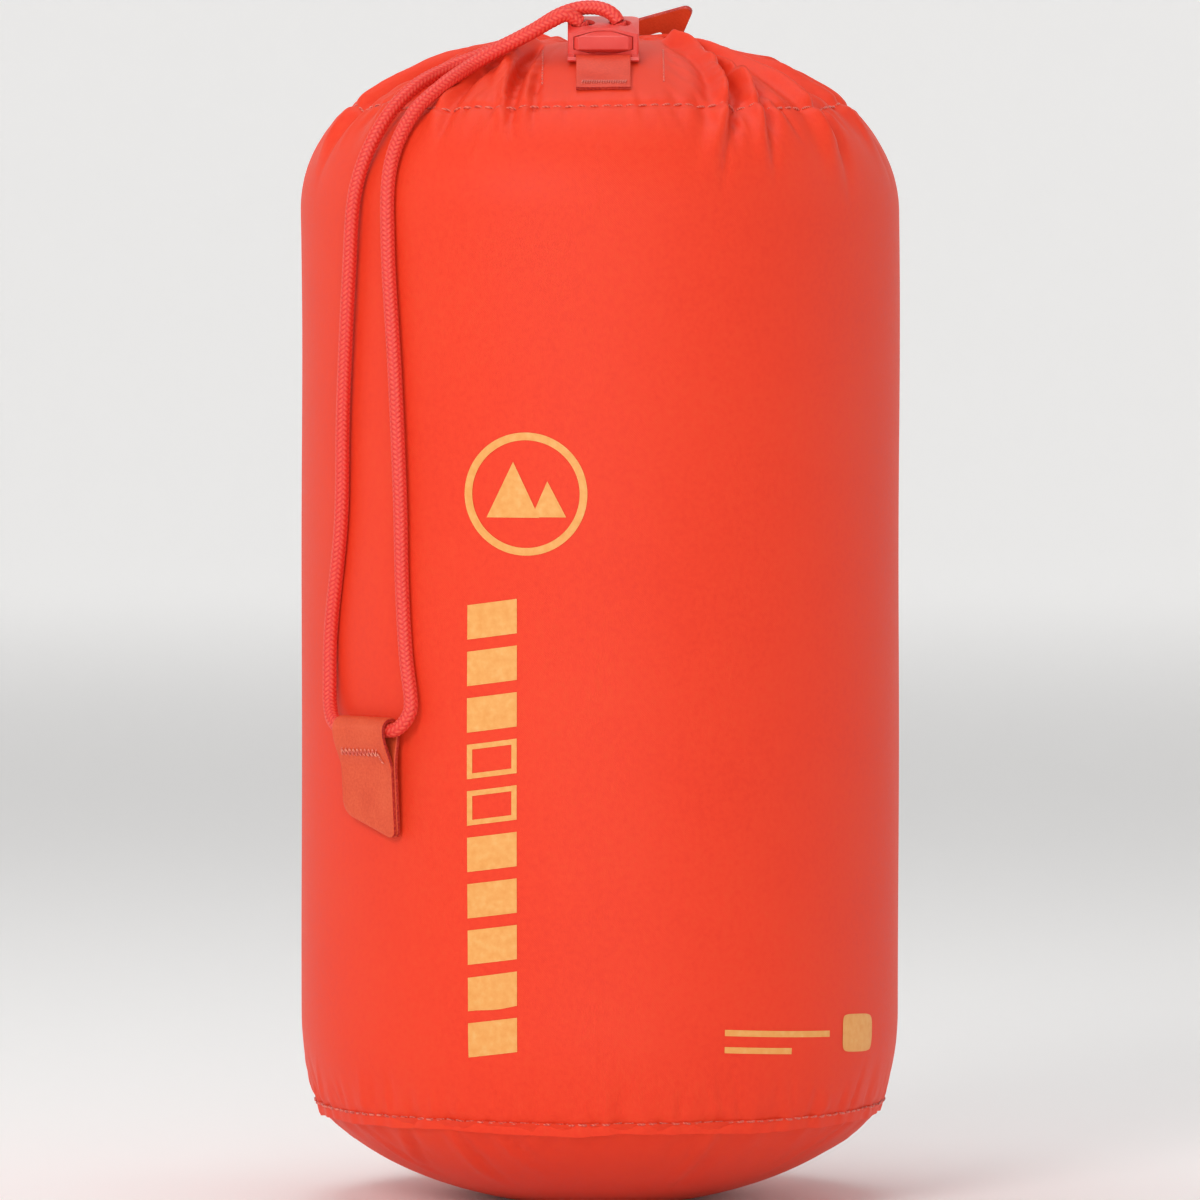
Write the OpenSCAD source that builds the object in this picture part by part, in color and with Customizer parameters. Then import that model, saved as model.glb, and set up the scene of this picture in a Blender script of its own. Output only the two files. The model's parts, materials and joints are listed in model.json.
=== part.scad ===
// Round-bottomed drawstring stuff sack, packed full and cinched shut.
// Origin: bottom centre. +Z up, the cord lock side faces -Y. Millimetres.

/* [Packed sack] */
// Radius of the straight wall
sack_r = 64; // [63.5:0.1:64]
// Height where the wall turns into the shoulder
wall_top = 211.5; // [210:0.5:211.5]
// Height of the seam between the wall and the base
seam_z = 21; // [20:0.5:22]
// Height where the wall starts to draw in towards the base
foot_top = 40; // [38:1:44]
// How far the wall draws in at the base seam
foot_in = 3; // [2.5:0.1:3.5]
// Thickness of the coated fabric
cloth_t = 0.4; // [0.2:0.05:0.5]

/* [Shoulder and hem] */
// Radius of the rounded shoulder
shoulder_r = 28; // [27.5:0.1:28]
// Angle of the shoulder's arc
shoulder_angle = 62; // [61:0.5:63]
// Radius of the flatter crown above the shoulder
crown_r = 110; // [105:1:110]
// Radius of the gathered mouth
mouth_r = 8; // [7.5:0.1:8.5]
// Angle on the shoulder where the hem is stitched down
hem_stitch_angle = 50.5; // [48:0.5:52]

/* [Threads] */
// Radius of the sewing thread
thread_r = 0.2; // [0.15:0.01:0.25]
// Distance from the cloth to a thread that lies on it
thread_gap = 0.02; // [0.01:0.01:0.05]

/* [Drawcord] */
// Diameter of the braided cord
cord_d = 3; // [2.6:0.1:3]
// Radius of the cord's path inside the hem
hem_cord_r = 17; // [16:0.5:18]
// Height of the cord's path inside the hem
hem_cord_z = 244.9; // [244.7:0.1:245]

/* [Cord lock] */
// Width of the housing
lock_w = 15; // [14.6:0.1:15.4]
// Height of the housing
lock_h = 6.7; // [6.6:0.05:6.8]
// Forward lean of the lock, following the crown
lock_tilt = 16; // [15.5:0.5:16]
// Travel of the plunger
plunger_travel = 2; // [1.5:0.1:2.1]
// Sideways distance of each cord bore from the lock's middle
bore_x = 3.75; // [3.7:0.01:3.8]
// Radius of each cord bore
bore_r = 1.8; // [1.7:0.05:1.9]
// Gap between plunger and housing
slide_gap = 0.09; // [0.06:0.01:0.12]
// Width of the strap that anchors the lock
strap_w = 11.4; // [10:0.1:11.6]
// Thickness of the strap
strap_t = 0.4; // [0.3:0.05:0.4]

/* [End tab] */
// Width of the folded tab on the cord
end_tab_w = 15.6; // [14:0.1:15.6]
// Thickness of one layer of the tab
end_tab_t = 1; // [0.8:0.05:1]
// Angle round the sack from the front to the tab
end_tab_angle = 47; // [46:0.5:48]
// Height of the tab's hinge line
end_tab_z = 102.7; // [102.5:0.1:103]

/* [Pull tab] */
// Thickness of the pull tab
pull_tab_t = 1.1; // [0.9:0.05:1.2]
// Forward lean of the pull tab from vertical
pull_tab_lean = 40; // [35:1:45]
// Angle round the sack from the back to the tab
pull_tab_angle = 19; // [18:1:20]
// Distance of the tab's root from the sack's axis
pull_tab_root_r = 26.3; // [26.2:0.1:26.4]
// Height of the tab's root
pull_tab_root_z = 246; // [246:0.1:246.3]

/* [Hidden] */
$fn = 64;

body_orange = "orangered";
trim_orange = "tomato";
cord_red = "crimson";
thread_orange = "coral";

// The crown's arc continues the shoulder's arc without a kink.
shoulder_c = [sack_r - shoulder_r, wall_top];
crown_c = shoulder_c + (shoulder_r - crown_r) * [cos(shoulder_angle), sin(shoulder_angle)];
crown_end_angle = 78.2;

// The base is an ellipse, cut flat where the sack rests.
base_half_w = 66;
base_half_h = 36.5;
base_flat = 1.7;
base_flat_r = base_half_w * sqrt(1 - pow(1 - base_flat / base_half_h, 2));
lap_z = seam_z - 2.4;
lap_top_z = seam_z + 2;
inner_lap_gap = 0.1;

// Heights and radii on the sack.
function wall_r(z) = sack_r - foot_in * pow((foot_top - z) / (foot_top - seam_z), 2);
function base_r(z) = base_half_w * sqrt(1 - pow(1 - (z + base_flat) / base_half_h, 2));
function crown_dir(r) = let (c = (r - crown_c[0]) / crown_r) [c, sqrt(1 - c * c)];
function on_crown(r, out) = crown_c + (crown_r + out) * crown_dir(r);
function arc(centre, radius, from, to, steps) = [
    for (i = [0:steps]) let (a = from + (to - from) * i / steps) centre + radius * [cos(a), sin(a)]
];

// A copy of an outline moved sideways: positive is away from the sack.
function side(line, i) =
    let (a = line[max(i - 1, 0)], b = line[min(i + 1, len(line) - 1)], t = (b - a) / norm(b - a))
    [t[1], -t[0]];
function shifted(line, out) = [for (i = [0:len(line) - 1]) line[i] + out * side(line, i)];
function reversed(line) = [for (i = [len(line) - 1:-1:0]) line[i]];
function band(line, from, to) = concat(shifted(line, to), reversed(shifted(line, from)));

// Outlines, from the bottom up, as [radius, height].
lap_line = [[base_r(lap_z) + cloth_t + inner_lap_gap, lap_z]];
foot_line = [for (z = [seam_z:4.75:foot_top - 1]) [wall_r(z), z]];
shoulder_line = arc(shoulder_c, shoulder_r, 0, shoulder_angle, 10);
crown_line = arc(crown_c, crown_r, shoulder_angle + 4, crown_end_angle, 3);
rim_line = [[15, 247.9], [12, 247.9], [9.2, 246.7], [mouth_r, 244.8], [8.5, 243.3]];
under_line = [[14, 242.6], [32, 239.2], [53, 232.4]];
outer_line = concat(lap_line, foot_line, [[sack_r, foot_top]], shoulder_line, crown_line);
panel_line = concat(outer_line, rim_line, under_line);
base_line = concat(
    [[0, 0], [base_flat_r, 0]],
    [for (z = [1:2.2:lap_z - 1]) [base_r(z), z]],
    shifted([lap_line[0], foot_line[0], [wall_r(lap_top_z), lap_top_z]], -cloth_t - inner_lap_gap)
);
fill_gap = cloth_t + 0.1;

// The cord's route outside the lock: out of the right-hand bore, down the sack, through the end
// tab's fold and back up into the left-hand bore.
LOOP_ROUTE = [
    [3.9, -31.2, 251], [2.9, -31, 252.5], [1.2, -30.5, 253.6], [-1.5, -29.6, 254.2],
    [-5, -29, 253.9], [-9, -28, 252.5], [-14, -27, 249.5], [-20, -26.4, 246.4],
    [-26, -26.2, 243.9], [-32, -27.8, 241.4], [-39.2, -33.8, 237.2], [-46.2, -39.1, 228.8],
    [-51.2, -40.6, 216], [-52.7, -39.3, 198], [-54, -37.4, 170], [-54.5, -36.7, 146],
    [-56.7, -33.2, 124], [-57, -33.2, 112], [-56.9, -34.4, 107.2], [-56, -37.3, 104],
    [-53.7, -40.7, 102.7], [-49, -45.7, 102.7], [-44.6, -50.4, 102.7], [-42.2, -52.4, 103.3],
    [-40.1, -53.3, 105.8], [-39.5, -53.2, 109.2], [-40.6, -51.7, 119], [-41.4, -51, 134],
    [-41.8, -50.7, 152], [-42.9, -49.7, 178], [-44.3, -48.5, 203], [-43.9, -47.3, 220],
    [-39.6, -43.4, 231], [-33, -38.1, 237.7], [-27, -32, 242], [-22, -30.7, 245],
    [-15, -31, 248.6], [-10.5, -31.6, 251.2], [-7, -32, 252.6], [-4.1, -31.2, 251]
];

// The cord's route at the lock, from inside the hem up through each bore.
RIGHT_BORE_ROUTE = [
    [8.4, -18, 244.2], [5.6, -23, 242.9], [4.6, -26.3, 242.2], [4.45, -28.4, 242.6],
    [4.45, -29.2, 244], [4.45, -30, 246.6], [4.4, -30.7, 249], [3.9, -31.2, 251]
];
LEFT_BORE_ROUTE = [
    [-7.4, -18, 244.2], [-4.4, -23, 242.9], [-3.2, -26.3, 242.2], [-3.05, -28.4, 242.6],
    [-3.05, -29.2, 244], [-3.1, -30, 246.6], [-3.4, -30.7, 249], [-4.1, -31.2, 251]
];
HEM_ROUTE = concat(
    reversed(LEFT_BORE_ROUTE),
    [for (a = [235:-25:-55]) [hem_cord_r * cos(a), hem_cord_r * sin(a), hem_cord_z]],
    RIGHT_BORE_ROUTE
);

// Smooth path through a route's points, with one ring between each two.
function between(p, i) =
    let (a = p[max(i - 1, 0)], b = p[i], c = p[i + 1], d = p[min(i + 2, len(p) - 1)])
    (9 * (b + c) - a - d) / 16;
function smooth(p) = [
    for (i = [0:2 * len(p) - 2]) i % 2 == 0 ? p[i / 2] : between(p, floor(i / 2))
];
function unit(v) = v / norm(v);
function heading(p, i) = unit(p[min(i + 1, len(p) - 1)] - p[max(i - 1, 0)]);
function across(v, t) = unit(v - (v * t) * t);
function normals(p) = [
    for (i = 0, n = across([0.3, 0.5, 0.8], heading(p, 0)); i < len(p);
         i = i + 1, n = i < len(p) ? across(n, heading(p, i)) : n) n
];

module tube(path, radius, sides = 8) {
    n = normals(path);
    last = len(path) - 1;
    points = [
        for (i = [0:last], k = [0:sides - 1])
            let (a = 360 * k / sides)
            path[i] + radius * (cos(a) * n[i] + sin(a) * cross(heading(path, i), n[i]))
    ];
    walls = [
        for (i = [0:last - 1], k = [0:sides - 1])
            let (m = (k + 1) % sides)
            [i * sides + k, (i + 1) * sides + k, (i + 1) * sides + m, i * sides + m]
    ];
    start = [for (k = [0:sides - 1]) k];
    end = [for (k = [sides - 1:-1:0]) last * sides + k];
    polyhedron(points, concat(walls, [start, end]), convexity = 6);
}

// Outline with rounded corners; radii holds one radius for each corner.
function rounded(points, radii, steps = 5) = [
    for (i = [0:len(points) - 1])
        let (
            n = len(points),
            a = unit(points[(i + n - 1) % n] - points[i]),
            b = unit(points[(i + 1) % n] - points[i]),
            half = acos(a * b) / 2,
            centre = points[i] + unit(a + b) * radii[i] / sin(half),
            start = atan2((points[i] + a * radii[i] / tan(half) - centre)[1],
                          (points[i] + a * radii[i] / tan(half) - centre)[0])
        )
        for (k = [0:steps])
            let (turn = start + (180 - 2 * half) * k / steps)
            centre + radii[i] * [cos(turn), sin(turn)]
];

// A shell that follows the sack's outer skin at a distance from it.
module skin_shell(line, from, to) {
    rotate_extrude() polygon(band(line, from, to));
}

/* Cord lock: its own frame has Y back along the plunger, Z up out of the crown. */
lock_place = [0.7, -29.4, 244.54];
lock_front = -4.5;
lock_back = 5.3;
bail_at = [-7, 0.55];
bail_r = 0.5;
bail_arm_x = 6.7;
plunger_half_w = 6.2;
plunger_bottom = 1.3;
plunger_top = 6.05;
plunger_corner = 0.85;
plunger_slope = 1.33;
plunger_crest = 1.6;
plunger_front = -5.2;
cavity_back = 4.6;
plunger_rear_gap = 0.2;
plunger_back = cavity_back - plunger_travel - plunger_rear_gap;
spring_r = 1.3;
spring_wire_r = 0.18;
spring_z = 3.7;
spring_start = -1.4;
spring_turns = 5;

module at_lock() {
    translate(lock_place) rotate([lock_tilt, 0, 0]) children();
}

// Front view of the plunger, grown by a gap for the cavity that it slides in.
module plunger_outline(gap) {
    w = plunger_half_w + gap;
    low = plunger_bottom - gap;
    high = plunger_top + gap;
    polygon([
        [-3, low], [3, low], [w, low + plunger_corner], [w, high - plunger_slope],
        [plunger_crest, high], [-plunger_crest, high], [-w, high - plunger_slope],
        [-w, low + plunger_corner]
    ]);
}

// Runs an X-Z outline along Y.
module along_y(from, to) {
    translate([0, to, 0]) rotate([90, 0, 0]) linear_extrude(to - from) children();
}

// Cuts away everything above a plane through a point.
module plane_cut(at, normal) {
    tilt = acos(normal[2] / norm(normal));
    turn = atan2(normal[1], normal[0]);
    translate(at) rotate([0, tilt, turn]) translate([-20, -20, 0]) cube([40, 40, 20]);
}

module on_both_sides() {
    children();
    mirror([1, 0, 0]) children();
}

module lock_housing() {
    front_slope = 1.4;
    plan = rounded(
        [[-lock_w / 2, lock_front], [lock_w / 2, lock_front],
         [lock_w / 2, lock_back], [-lock_w / 2, lock_back]],
        [0.6, 0.6, 2, 2]
    );
    color(body_orange) at_lock() union() {
        difference() {
            linear_extrude(lock_h) polygon(plan);
            on_both_sides() plane_cut(
                [plunger_crest, lock_front, lock_h],
                [front_slope * 6, -front_slope * 5.9, 5.9 * 6]
            );
            along_y(lock_front - 1, cavity_back) plunger_outline(slide_gap);
            // The floor's front edge is hollowed, and the cord bores run through the floor.
            translate([0, lock_front - 4, -1]) cylinder(h = 3, r = 5.2);
            for (s = [-1, 1]) {
                translate([s * bore_x, 0, -1]) cylinder(h = 3, r = bore_r);
                translate([s * bore_x, 0, -1]) cylinder(h = 1.6, r = 3.05);
            }
            // The roof's holes are wider on the side that the cord leaves by.
            translate([-bore_x - 0.6, 0, 4.6]) cylinder(h = 2.9, r1 = 2.1, r2 = 2.9);
            translate([bore_x - 0.25, 0, 4.6]) cylinder(h = 2.9, r1 = 1.9, r2 = 2.6);
        }
        // Bail that the strap loops round.
        on_both_sides() {
            arm_l = lock_front - bail_at[0] + 0.8;
            translate([bail_arm_x - 0.6, bail_at[0], bail_at[1] - bail_r]) {
                cube([1.4, arm_l, 2 * bail_r]);
            }
        }
        translate([-bail_arm_x - 0.8, bail_at[0], bail_at[1]]) {
            rotate([0, 90, 0]) cylinder(h = 2 * bail_arm_x + 1.6, r = bail_r);
        }
    }
}

module lock_plunger() {
    slot_front = -3.6;
    slot_back = 1.6;
    slot_inner = 1.9;
    slot_outer = 2.3;
    chamfer = 0.9;
    color(body_orange) at_lock() difference() {
        along_y(plunger_front, plunger_back) plunger_outline(0);
        // Slots that let the cord pass and nip it against the housing.
        on_both_sides() translate([bore_x - slot_inner, slot_front, 0]) {
            cube([slot_inner + slot_outer, slot_back - slot_front, lock_h + 1]);
        }
        // Spring pocket, open at the back.
        translate([0, spring_start - 0.1, spring_z]) rotate([-90, 0, 0]) cylinder(h = 6, r = 1.5);
        // Bevels round the button's front.
        plane_cut([0, plunger_front, plunger_top - chamfer], [0, -1, 1]);
        mirror([0, 0, 1]) plane_cut([0, plunger_front, -plunger_bottom - chamfer], [0, -1, 1]);
        on_both_sides() plane_cut([plunger_half_w - chamfer, plunger_front, 0], [1, -1, 0.01]);
    }
}

module lock_spring() {
    steps = 12 * spring_turns;
    length = cavity_back - spring_start - 2 * spring_wire_r - 0.1;
    coil_r = spring_r - spring_wire_r;
    helix = [
        for (i = [0:steps])
            let (a = 360 * spring_turns * i / steps)
            [coil_r * cos(a), spring_start + spring_wire_r + length * i / steps, spring_z + coil_r * sin(a)]
    ];
    color("silver") at_lock() tube(helix, spring_wire_r, 6);
}

// Outline of a strap over the crown between two radii, seen from the side.
function strap_layer(radii, low, high) = concat(
    [for (i = [0:len(radii) - 1]) on_crown(radii[i], high[i])],
    [for (i = [len(radii) - 1:-1:0]) on_crown(radii[i], low[i])]
);
bail_y = lock_place[1] + bail_at[0] * cos(lock_tilt) - bail_at[1] * sin(lock_tilt);
bail_z = lock_place[2] + bail_at[0] * sin(lock_tilt) + bail_at[1] * cos(lock_tilt);
strap_end_r = 48.7;
strap_loop_r = bail_r + 0.05;
bail_lift = norm([-bail_y, bail_z] - crown_c) - crown_r;

// Runs an outline of [distance in front of the axis, height] across the sack.
module across_front(width) {
    translate([lock_place[0] + width / 2, 0, 0]) rotate([90, 0, -90]) linear_extrude(width) children();
}

module lock_strap() {
    radii = [-bail_y, 38.5, 42, strap_end_r];
    under = bail_lift - strap_loop_r - strap_t;
    over = bail_lift + strap_loop_r;
    resting = [under, under, under, under];
    top_low = [over, under + strap_t + 0.9, under + strap_t, under + strap_t];
    color(trim_orange) across_front(strap_w) {
        polygon(strap_layer(radii, resting, [for (x = resting) x + strap_t]));
        polygon(strap_layer(radii, top_low, [for (x = top_low) x + strap_t]));
        difference() {
            translate([-bail_y, bail_z]) circle(strap_loop_r + strap_t);
            translate([-bail_y, bail_z]) circle(strap_loop_r);
            polygon(strap_layer([-bail_y, 40], [-3 + bail_lift, -3], [3 + bail_lift, 3]));
        }
    }
}

module lock_strap_bartack() {
    radii = [46, 47.4];
    low = bail_lift - strap_loop_r + strap_t + thread_gap;
    color(thread_orange) across_front(strap_w - 2.4) {
        polygon(strap_layer(radii, [low, low], [low + 2 * thread_r, low + 2 * thread_r]));
    }
}

/* Sack body */

// The main panel in section, from the base seam over the crown and back under it.
module panel_section() {
    polygon(band(panel_line, -cloth_t, 0));
}

// All that lies above the hem's stitch line, in section.
module hem_area() {
    reach = 2 * shoulder_r;
    translate(shoulder_c) polygon([
        [0, 0], reach * [cos(hem_stitch_angle), sin(hem_stitch_angle)], [-reach, reach], [-reach, 0]
    ]);
}

module main_panel() {
    color(body_orange) rotate_extrude() difference() {
        panel_section();
        hem_area();
    }
}

// The panel's top edge, folded in and sewn down as the cord's channel.
module gathered_hem() {
    color(body_orange) difference() {
        rotate_extrude() intersection() {
            panel_section();
            hem_area();
        }
        at_lock() for (s = [-1, 1]) translate([s * bore_x, 0, -1.2]) cylinder(h = 2.4, r = 1.95);
    }
}

module base_panel() {
    color(body_orange) rotate_extrude() polygon(band(base_line, -cloth_t, 0));
}

module packed_fill() {
    floor_line = [for (p = shifted(base_line, -cloth_t - 0.1)) [max(p[0], 0), p[1]]];
    lift = [for (p = under_line) p - [0, 0.15]];
    last_arc = arc(shoulder_c, shoulder_r - fill_gap, 0, hem_stitch_angle - 1, 8);
    color("gray") rotate_extrude() polygon(concat(
        floor_line,
        [for (z = [lap_top_z + 1.2, 30, 35]) [wall_r(z) - fill_gap, z]],
        [[sack_r - fill_gap, foot_top]],
        last_arc,
        [lift[2] - [0.5, 0.1], lift[1], lift[0], [mouth_r + 0.5, 243.1], [0, 243.1]]
    ));
}

module side_seam_stitches() {
    seam_half = 1.2;
    low_z = lap_top_z + 2;
    seam_line = [for (p = outer_line) if (p[1] > low_z && p[0] > 56) p];
    color(thread_orange) intersection() {
        skin_shell(seam_line, thread_gap, thread_gap + 2 * thread_r);
        for (s = [-1, 1]) {
            translate([s * seam_half - thread_r, 40, 0]) cube([2 * thread_r, 30, 250]);
        }
    }
}

module ring_of_thread(radius, z) {
    translate([0, 0, z]) rotate_extrude() translate([radius, 0]) circle(thread_r, $fn = 16);
}

module base_seam_stitches() {
    out = thread_r + thread_gap + 0.03;
    color(thread_orange) ring_of_thread(wall_r(seam_z) + out * 0.95, seam_z - out * 0.3);
}

module hem_stitches() {
    out = shoulder_r + thread_r + thread_gap;
    at = shoulder_c + out * [cos(hem_stitch_angle), sin(hem_stitch_angle)];
    color(thread_orange) ring_of_thread(at[0], at[1]);
}

facing_left = -12.1;
facing_right = 13.3;
facing_near = 22;
facing_far = 46;
facing_line = [for (r = [facing_near - 2:4:facing_far + 2]) on_crown(r, 0)];

module front_facing() {
    color(body_orange) intersection() {
        skin_shell(reversed(facing_line), -cloth_t - 0.4, -cloth_t - 0.08);
        translate([facing_left - 1, -facing_far, 200]) {
            cube([facing_right - facing_left + 2, facing_far - facing_near, 60]);
        }
        difference() {
            cylinder(h = 300, r = 80);
            at_lock() for (s = [-1, 1]) translate([s * bore_x, 0, -3]) cylinder(h = 6, r = 1.95);
        }
    }
}

module facing_stitches() {
    color(thread_orange) intersection() {
        skin_shell(reversed(facing_line), thread_gap, thread_gap + 2 * thread_r);
        for (x = [facing_left, facing_right]) {
            translate([x - thread_r, -facing_far + 2, 200]) cube([2 * thread_r, 20, 60]);
        }
    }
}

module cord_exit_stitching() {
    color(thread_orange) at_lock() for (s = [-1, 1]) {
        translate([s * bore_x, 0, 0.12]) {
            rotate_extrude() translate([2.5, 0]) circle(thread_r, $fn = 16);
        }
    }
}

/* Drawcord and what hangs on it */

module drawcord_in_hem() {
    color(cord_red) tube(smooth(HEM_ROUTE), cord_d / 2);
}

module drawcord_loop() {
    color(cord_red) tube(smooth(LOOP_ROUTE), cord_d / 2);
}

// The tab's own frame: X along its hinge line, Y out from the sack, Z up.
fold_inner_r = 1.8;
fold_outer_r = fold_inner_r + end_tab_t;
end_tab_axis_r = sack_r + 0.25 + fold_outer_r;
end_tab_drop_left = 17.7;
end_tab_drop_right = 23;
leaf_join = 3.4;
leaf_join_out = -0.65;
leaf_lean = 0.06;
leaf_gap = 0.02;

module at_end_tab() {
    rotate([0, 0, -end_tab_angle]) translate([0, -end_tab_axis_r, end_tab_z]) {
        rotate([0, 0, 180]) children();
    }
}

// Where the two leaves of the tab meet, below the fold.
function leaf_plane(drop) = leaf_join_out - leaf_lean * (drop - leaf_join);

// Runs a side view of the tab, as [distance out from the sack, height], along the hinge line.
module along_fold(width) {
    translate([width / 2, 0, 0]) rotate([90, 0, -90]) linear_extrude(width) children();
}

module end_tab_leaf(inner_top, outer_top, inner_shift, outer_shift) {
    top = -0.3;
    join = leaf_plane(leaf_join);
    end = leaf_plane(end_tab_drop_right);
    polygon([
        [inner_top, top], [outer_top, top],
        [join + outer_shift, -leaf_join], [end + outer_shift, -end_tab_drop_right],
        [end + inner_shift, -end_tab_drop_right], [join + inner_shift, -leaf_join]
    ]);
}

module end_tab_side() {
    difference() {
        circle(fold_outer_r);
        circle(fold_inner_r);
        translate([-5, -10]) square([10, 10 - 0.4]);
    }
    end_tab_leaf(fold_inner_r, fold_outer_r, leaf_gap, end_tab_t);
    end_tab_leaf(-fold_inner_r, -fold_outer_r, -leaf_gap, -end_tab_t);
}

module end_tab() {
    w = end_tab_w / 2;
    // Seen from outside, the right-hand side is at -X of the tab's frame.
    face = rounded(
        [[-w, -end_tab_drop_right], [w, -end_tab_drop_left], [w, 4], [-w, 4]],
        [1.6, 1.2, 0.5, 0.5]
    );
    color(trim_orange) at_end_tab() intersection() {
        along_fold(end_tab_w) end_tab_side();
        along_y(-6, 6) polygon(face);
    }
}

module end_tab_bartack() {
    top = 3.6;
    bottom = 5.2;
    low = end_tab_t + thread_gap;
    high = low + 2 * thread_r;
    color(thread_orange) at_end_tab() along_fold(12.4) polygon([
        [leaf_plane(top) + low, -top], [leaf_plane(top) + high, -top],
        [leaf_plane(bottom) + high, -bottom], [leaf_plane(bottom) + low, -bottom]
    ]);
}

/* Pull tab: its own frame has X along the root and Y up the tab. */

module at_pull_tab() {
    rotate([0, 0, -pull_tab_angle]) translate([0, pull_tab_root_r, pull_tab_root_z]) children();
}

module pull_tab() {
    outline = rounded([[-7.6, 0.4], [8.4, 0.4], [15.8, 13.2], [-3.5, 7.35]], [0.4, 0.4, 1.3, 0.8]);
    finger_hole = rounded([[-2.1, 1.6], [4.5, 1.6], [7, 6], [-0.7, 3.7]], [0.4, 0.6, 0.5, 0.6]);
    color(trim_orange) at_pull_tab() rotate([90 + pull_tab_lean, 0, 0]) {
        translate([0, 0, -pull_tab_t / 2]) linear_extrude(pull_tab_t) difference() {
            polygon(outline);
            polygon(finger_hole);
        }
    }
}

pull_tab_line = [for (r = [24:4:40]) on_crown(r, 0)];

module pull_tab_patch(x_from, x_to, y_from, y_to, low, high) {
    intersection() {
        skin_shell(reversed(pull_tab_line), low, high);
        rotate([0, 0, -pull_tab_angle]) translate([x_from, y_from, 200]) {
            cube([x_to - x_from, y_to - y_from, 60]);
        }
    }
}

module pull_tab_base() {
    near = pull_tab_root_r + 0.9;
    color(trim_orange) pull_tab_patch(-7.6, 8.4, near, near + 6, 0.05, 1);
}

module pull_tab_bartack() {
    near = pull_tab_root_r + 2.4;
    color(thread_orange) pull_tab_patch(-6, 6.8, near, near + 1.4, 1.02, 1.4);
}

main_panel();
gathered_hem();
side_seam_stitches();
base_panel();
base_seam_stitches();
hem_stitches();
front_facing();
facing_stitches();
cord_exit_stitching();
packed_fill();
lock_strap();
lock_strap_bartack();
lock_housing();
lock_plunger();
lock_spring();
drawcord_in_hem();
drawcord_loop();
end_tab();
end_tab_bartack();
pull_tab();
pull_tab_base();
pull_tab_bartack();
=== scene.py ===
"""A drawstring stuff sack, packed full and cinched shut, standing on a pale studio floor."""

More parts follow.
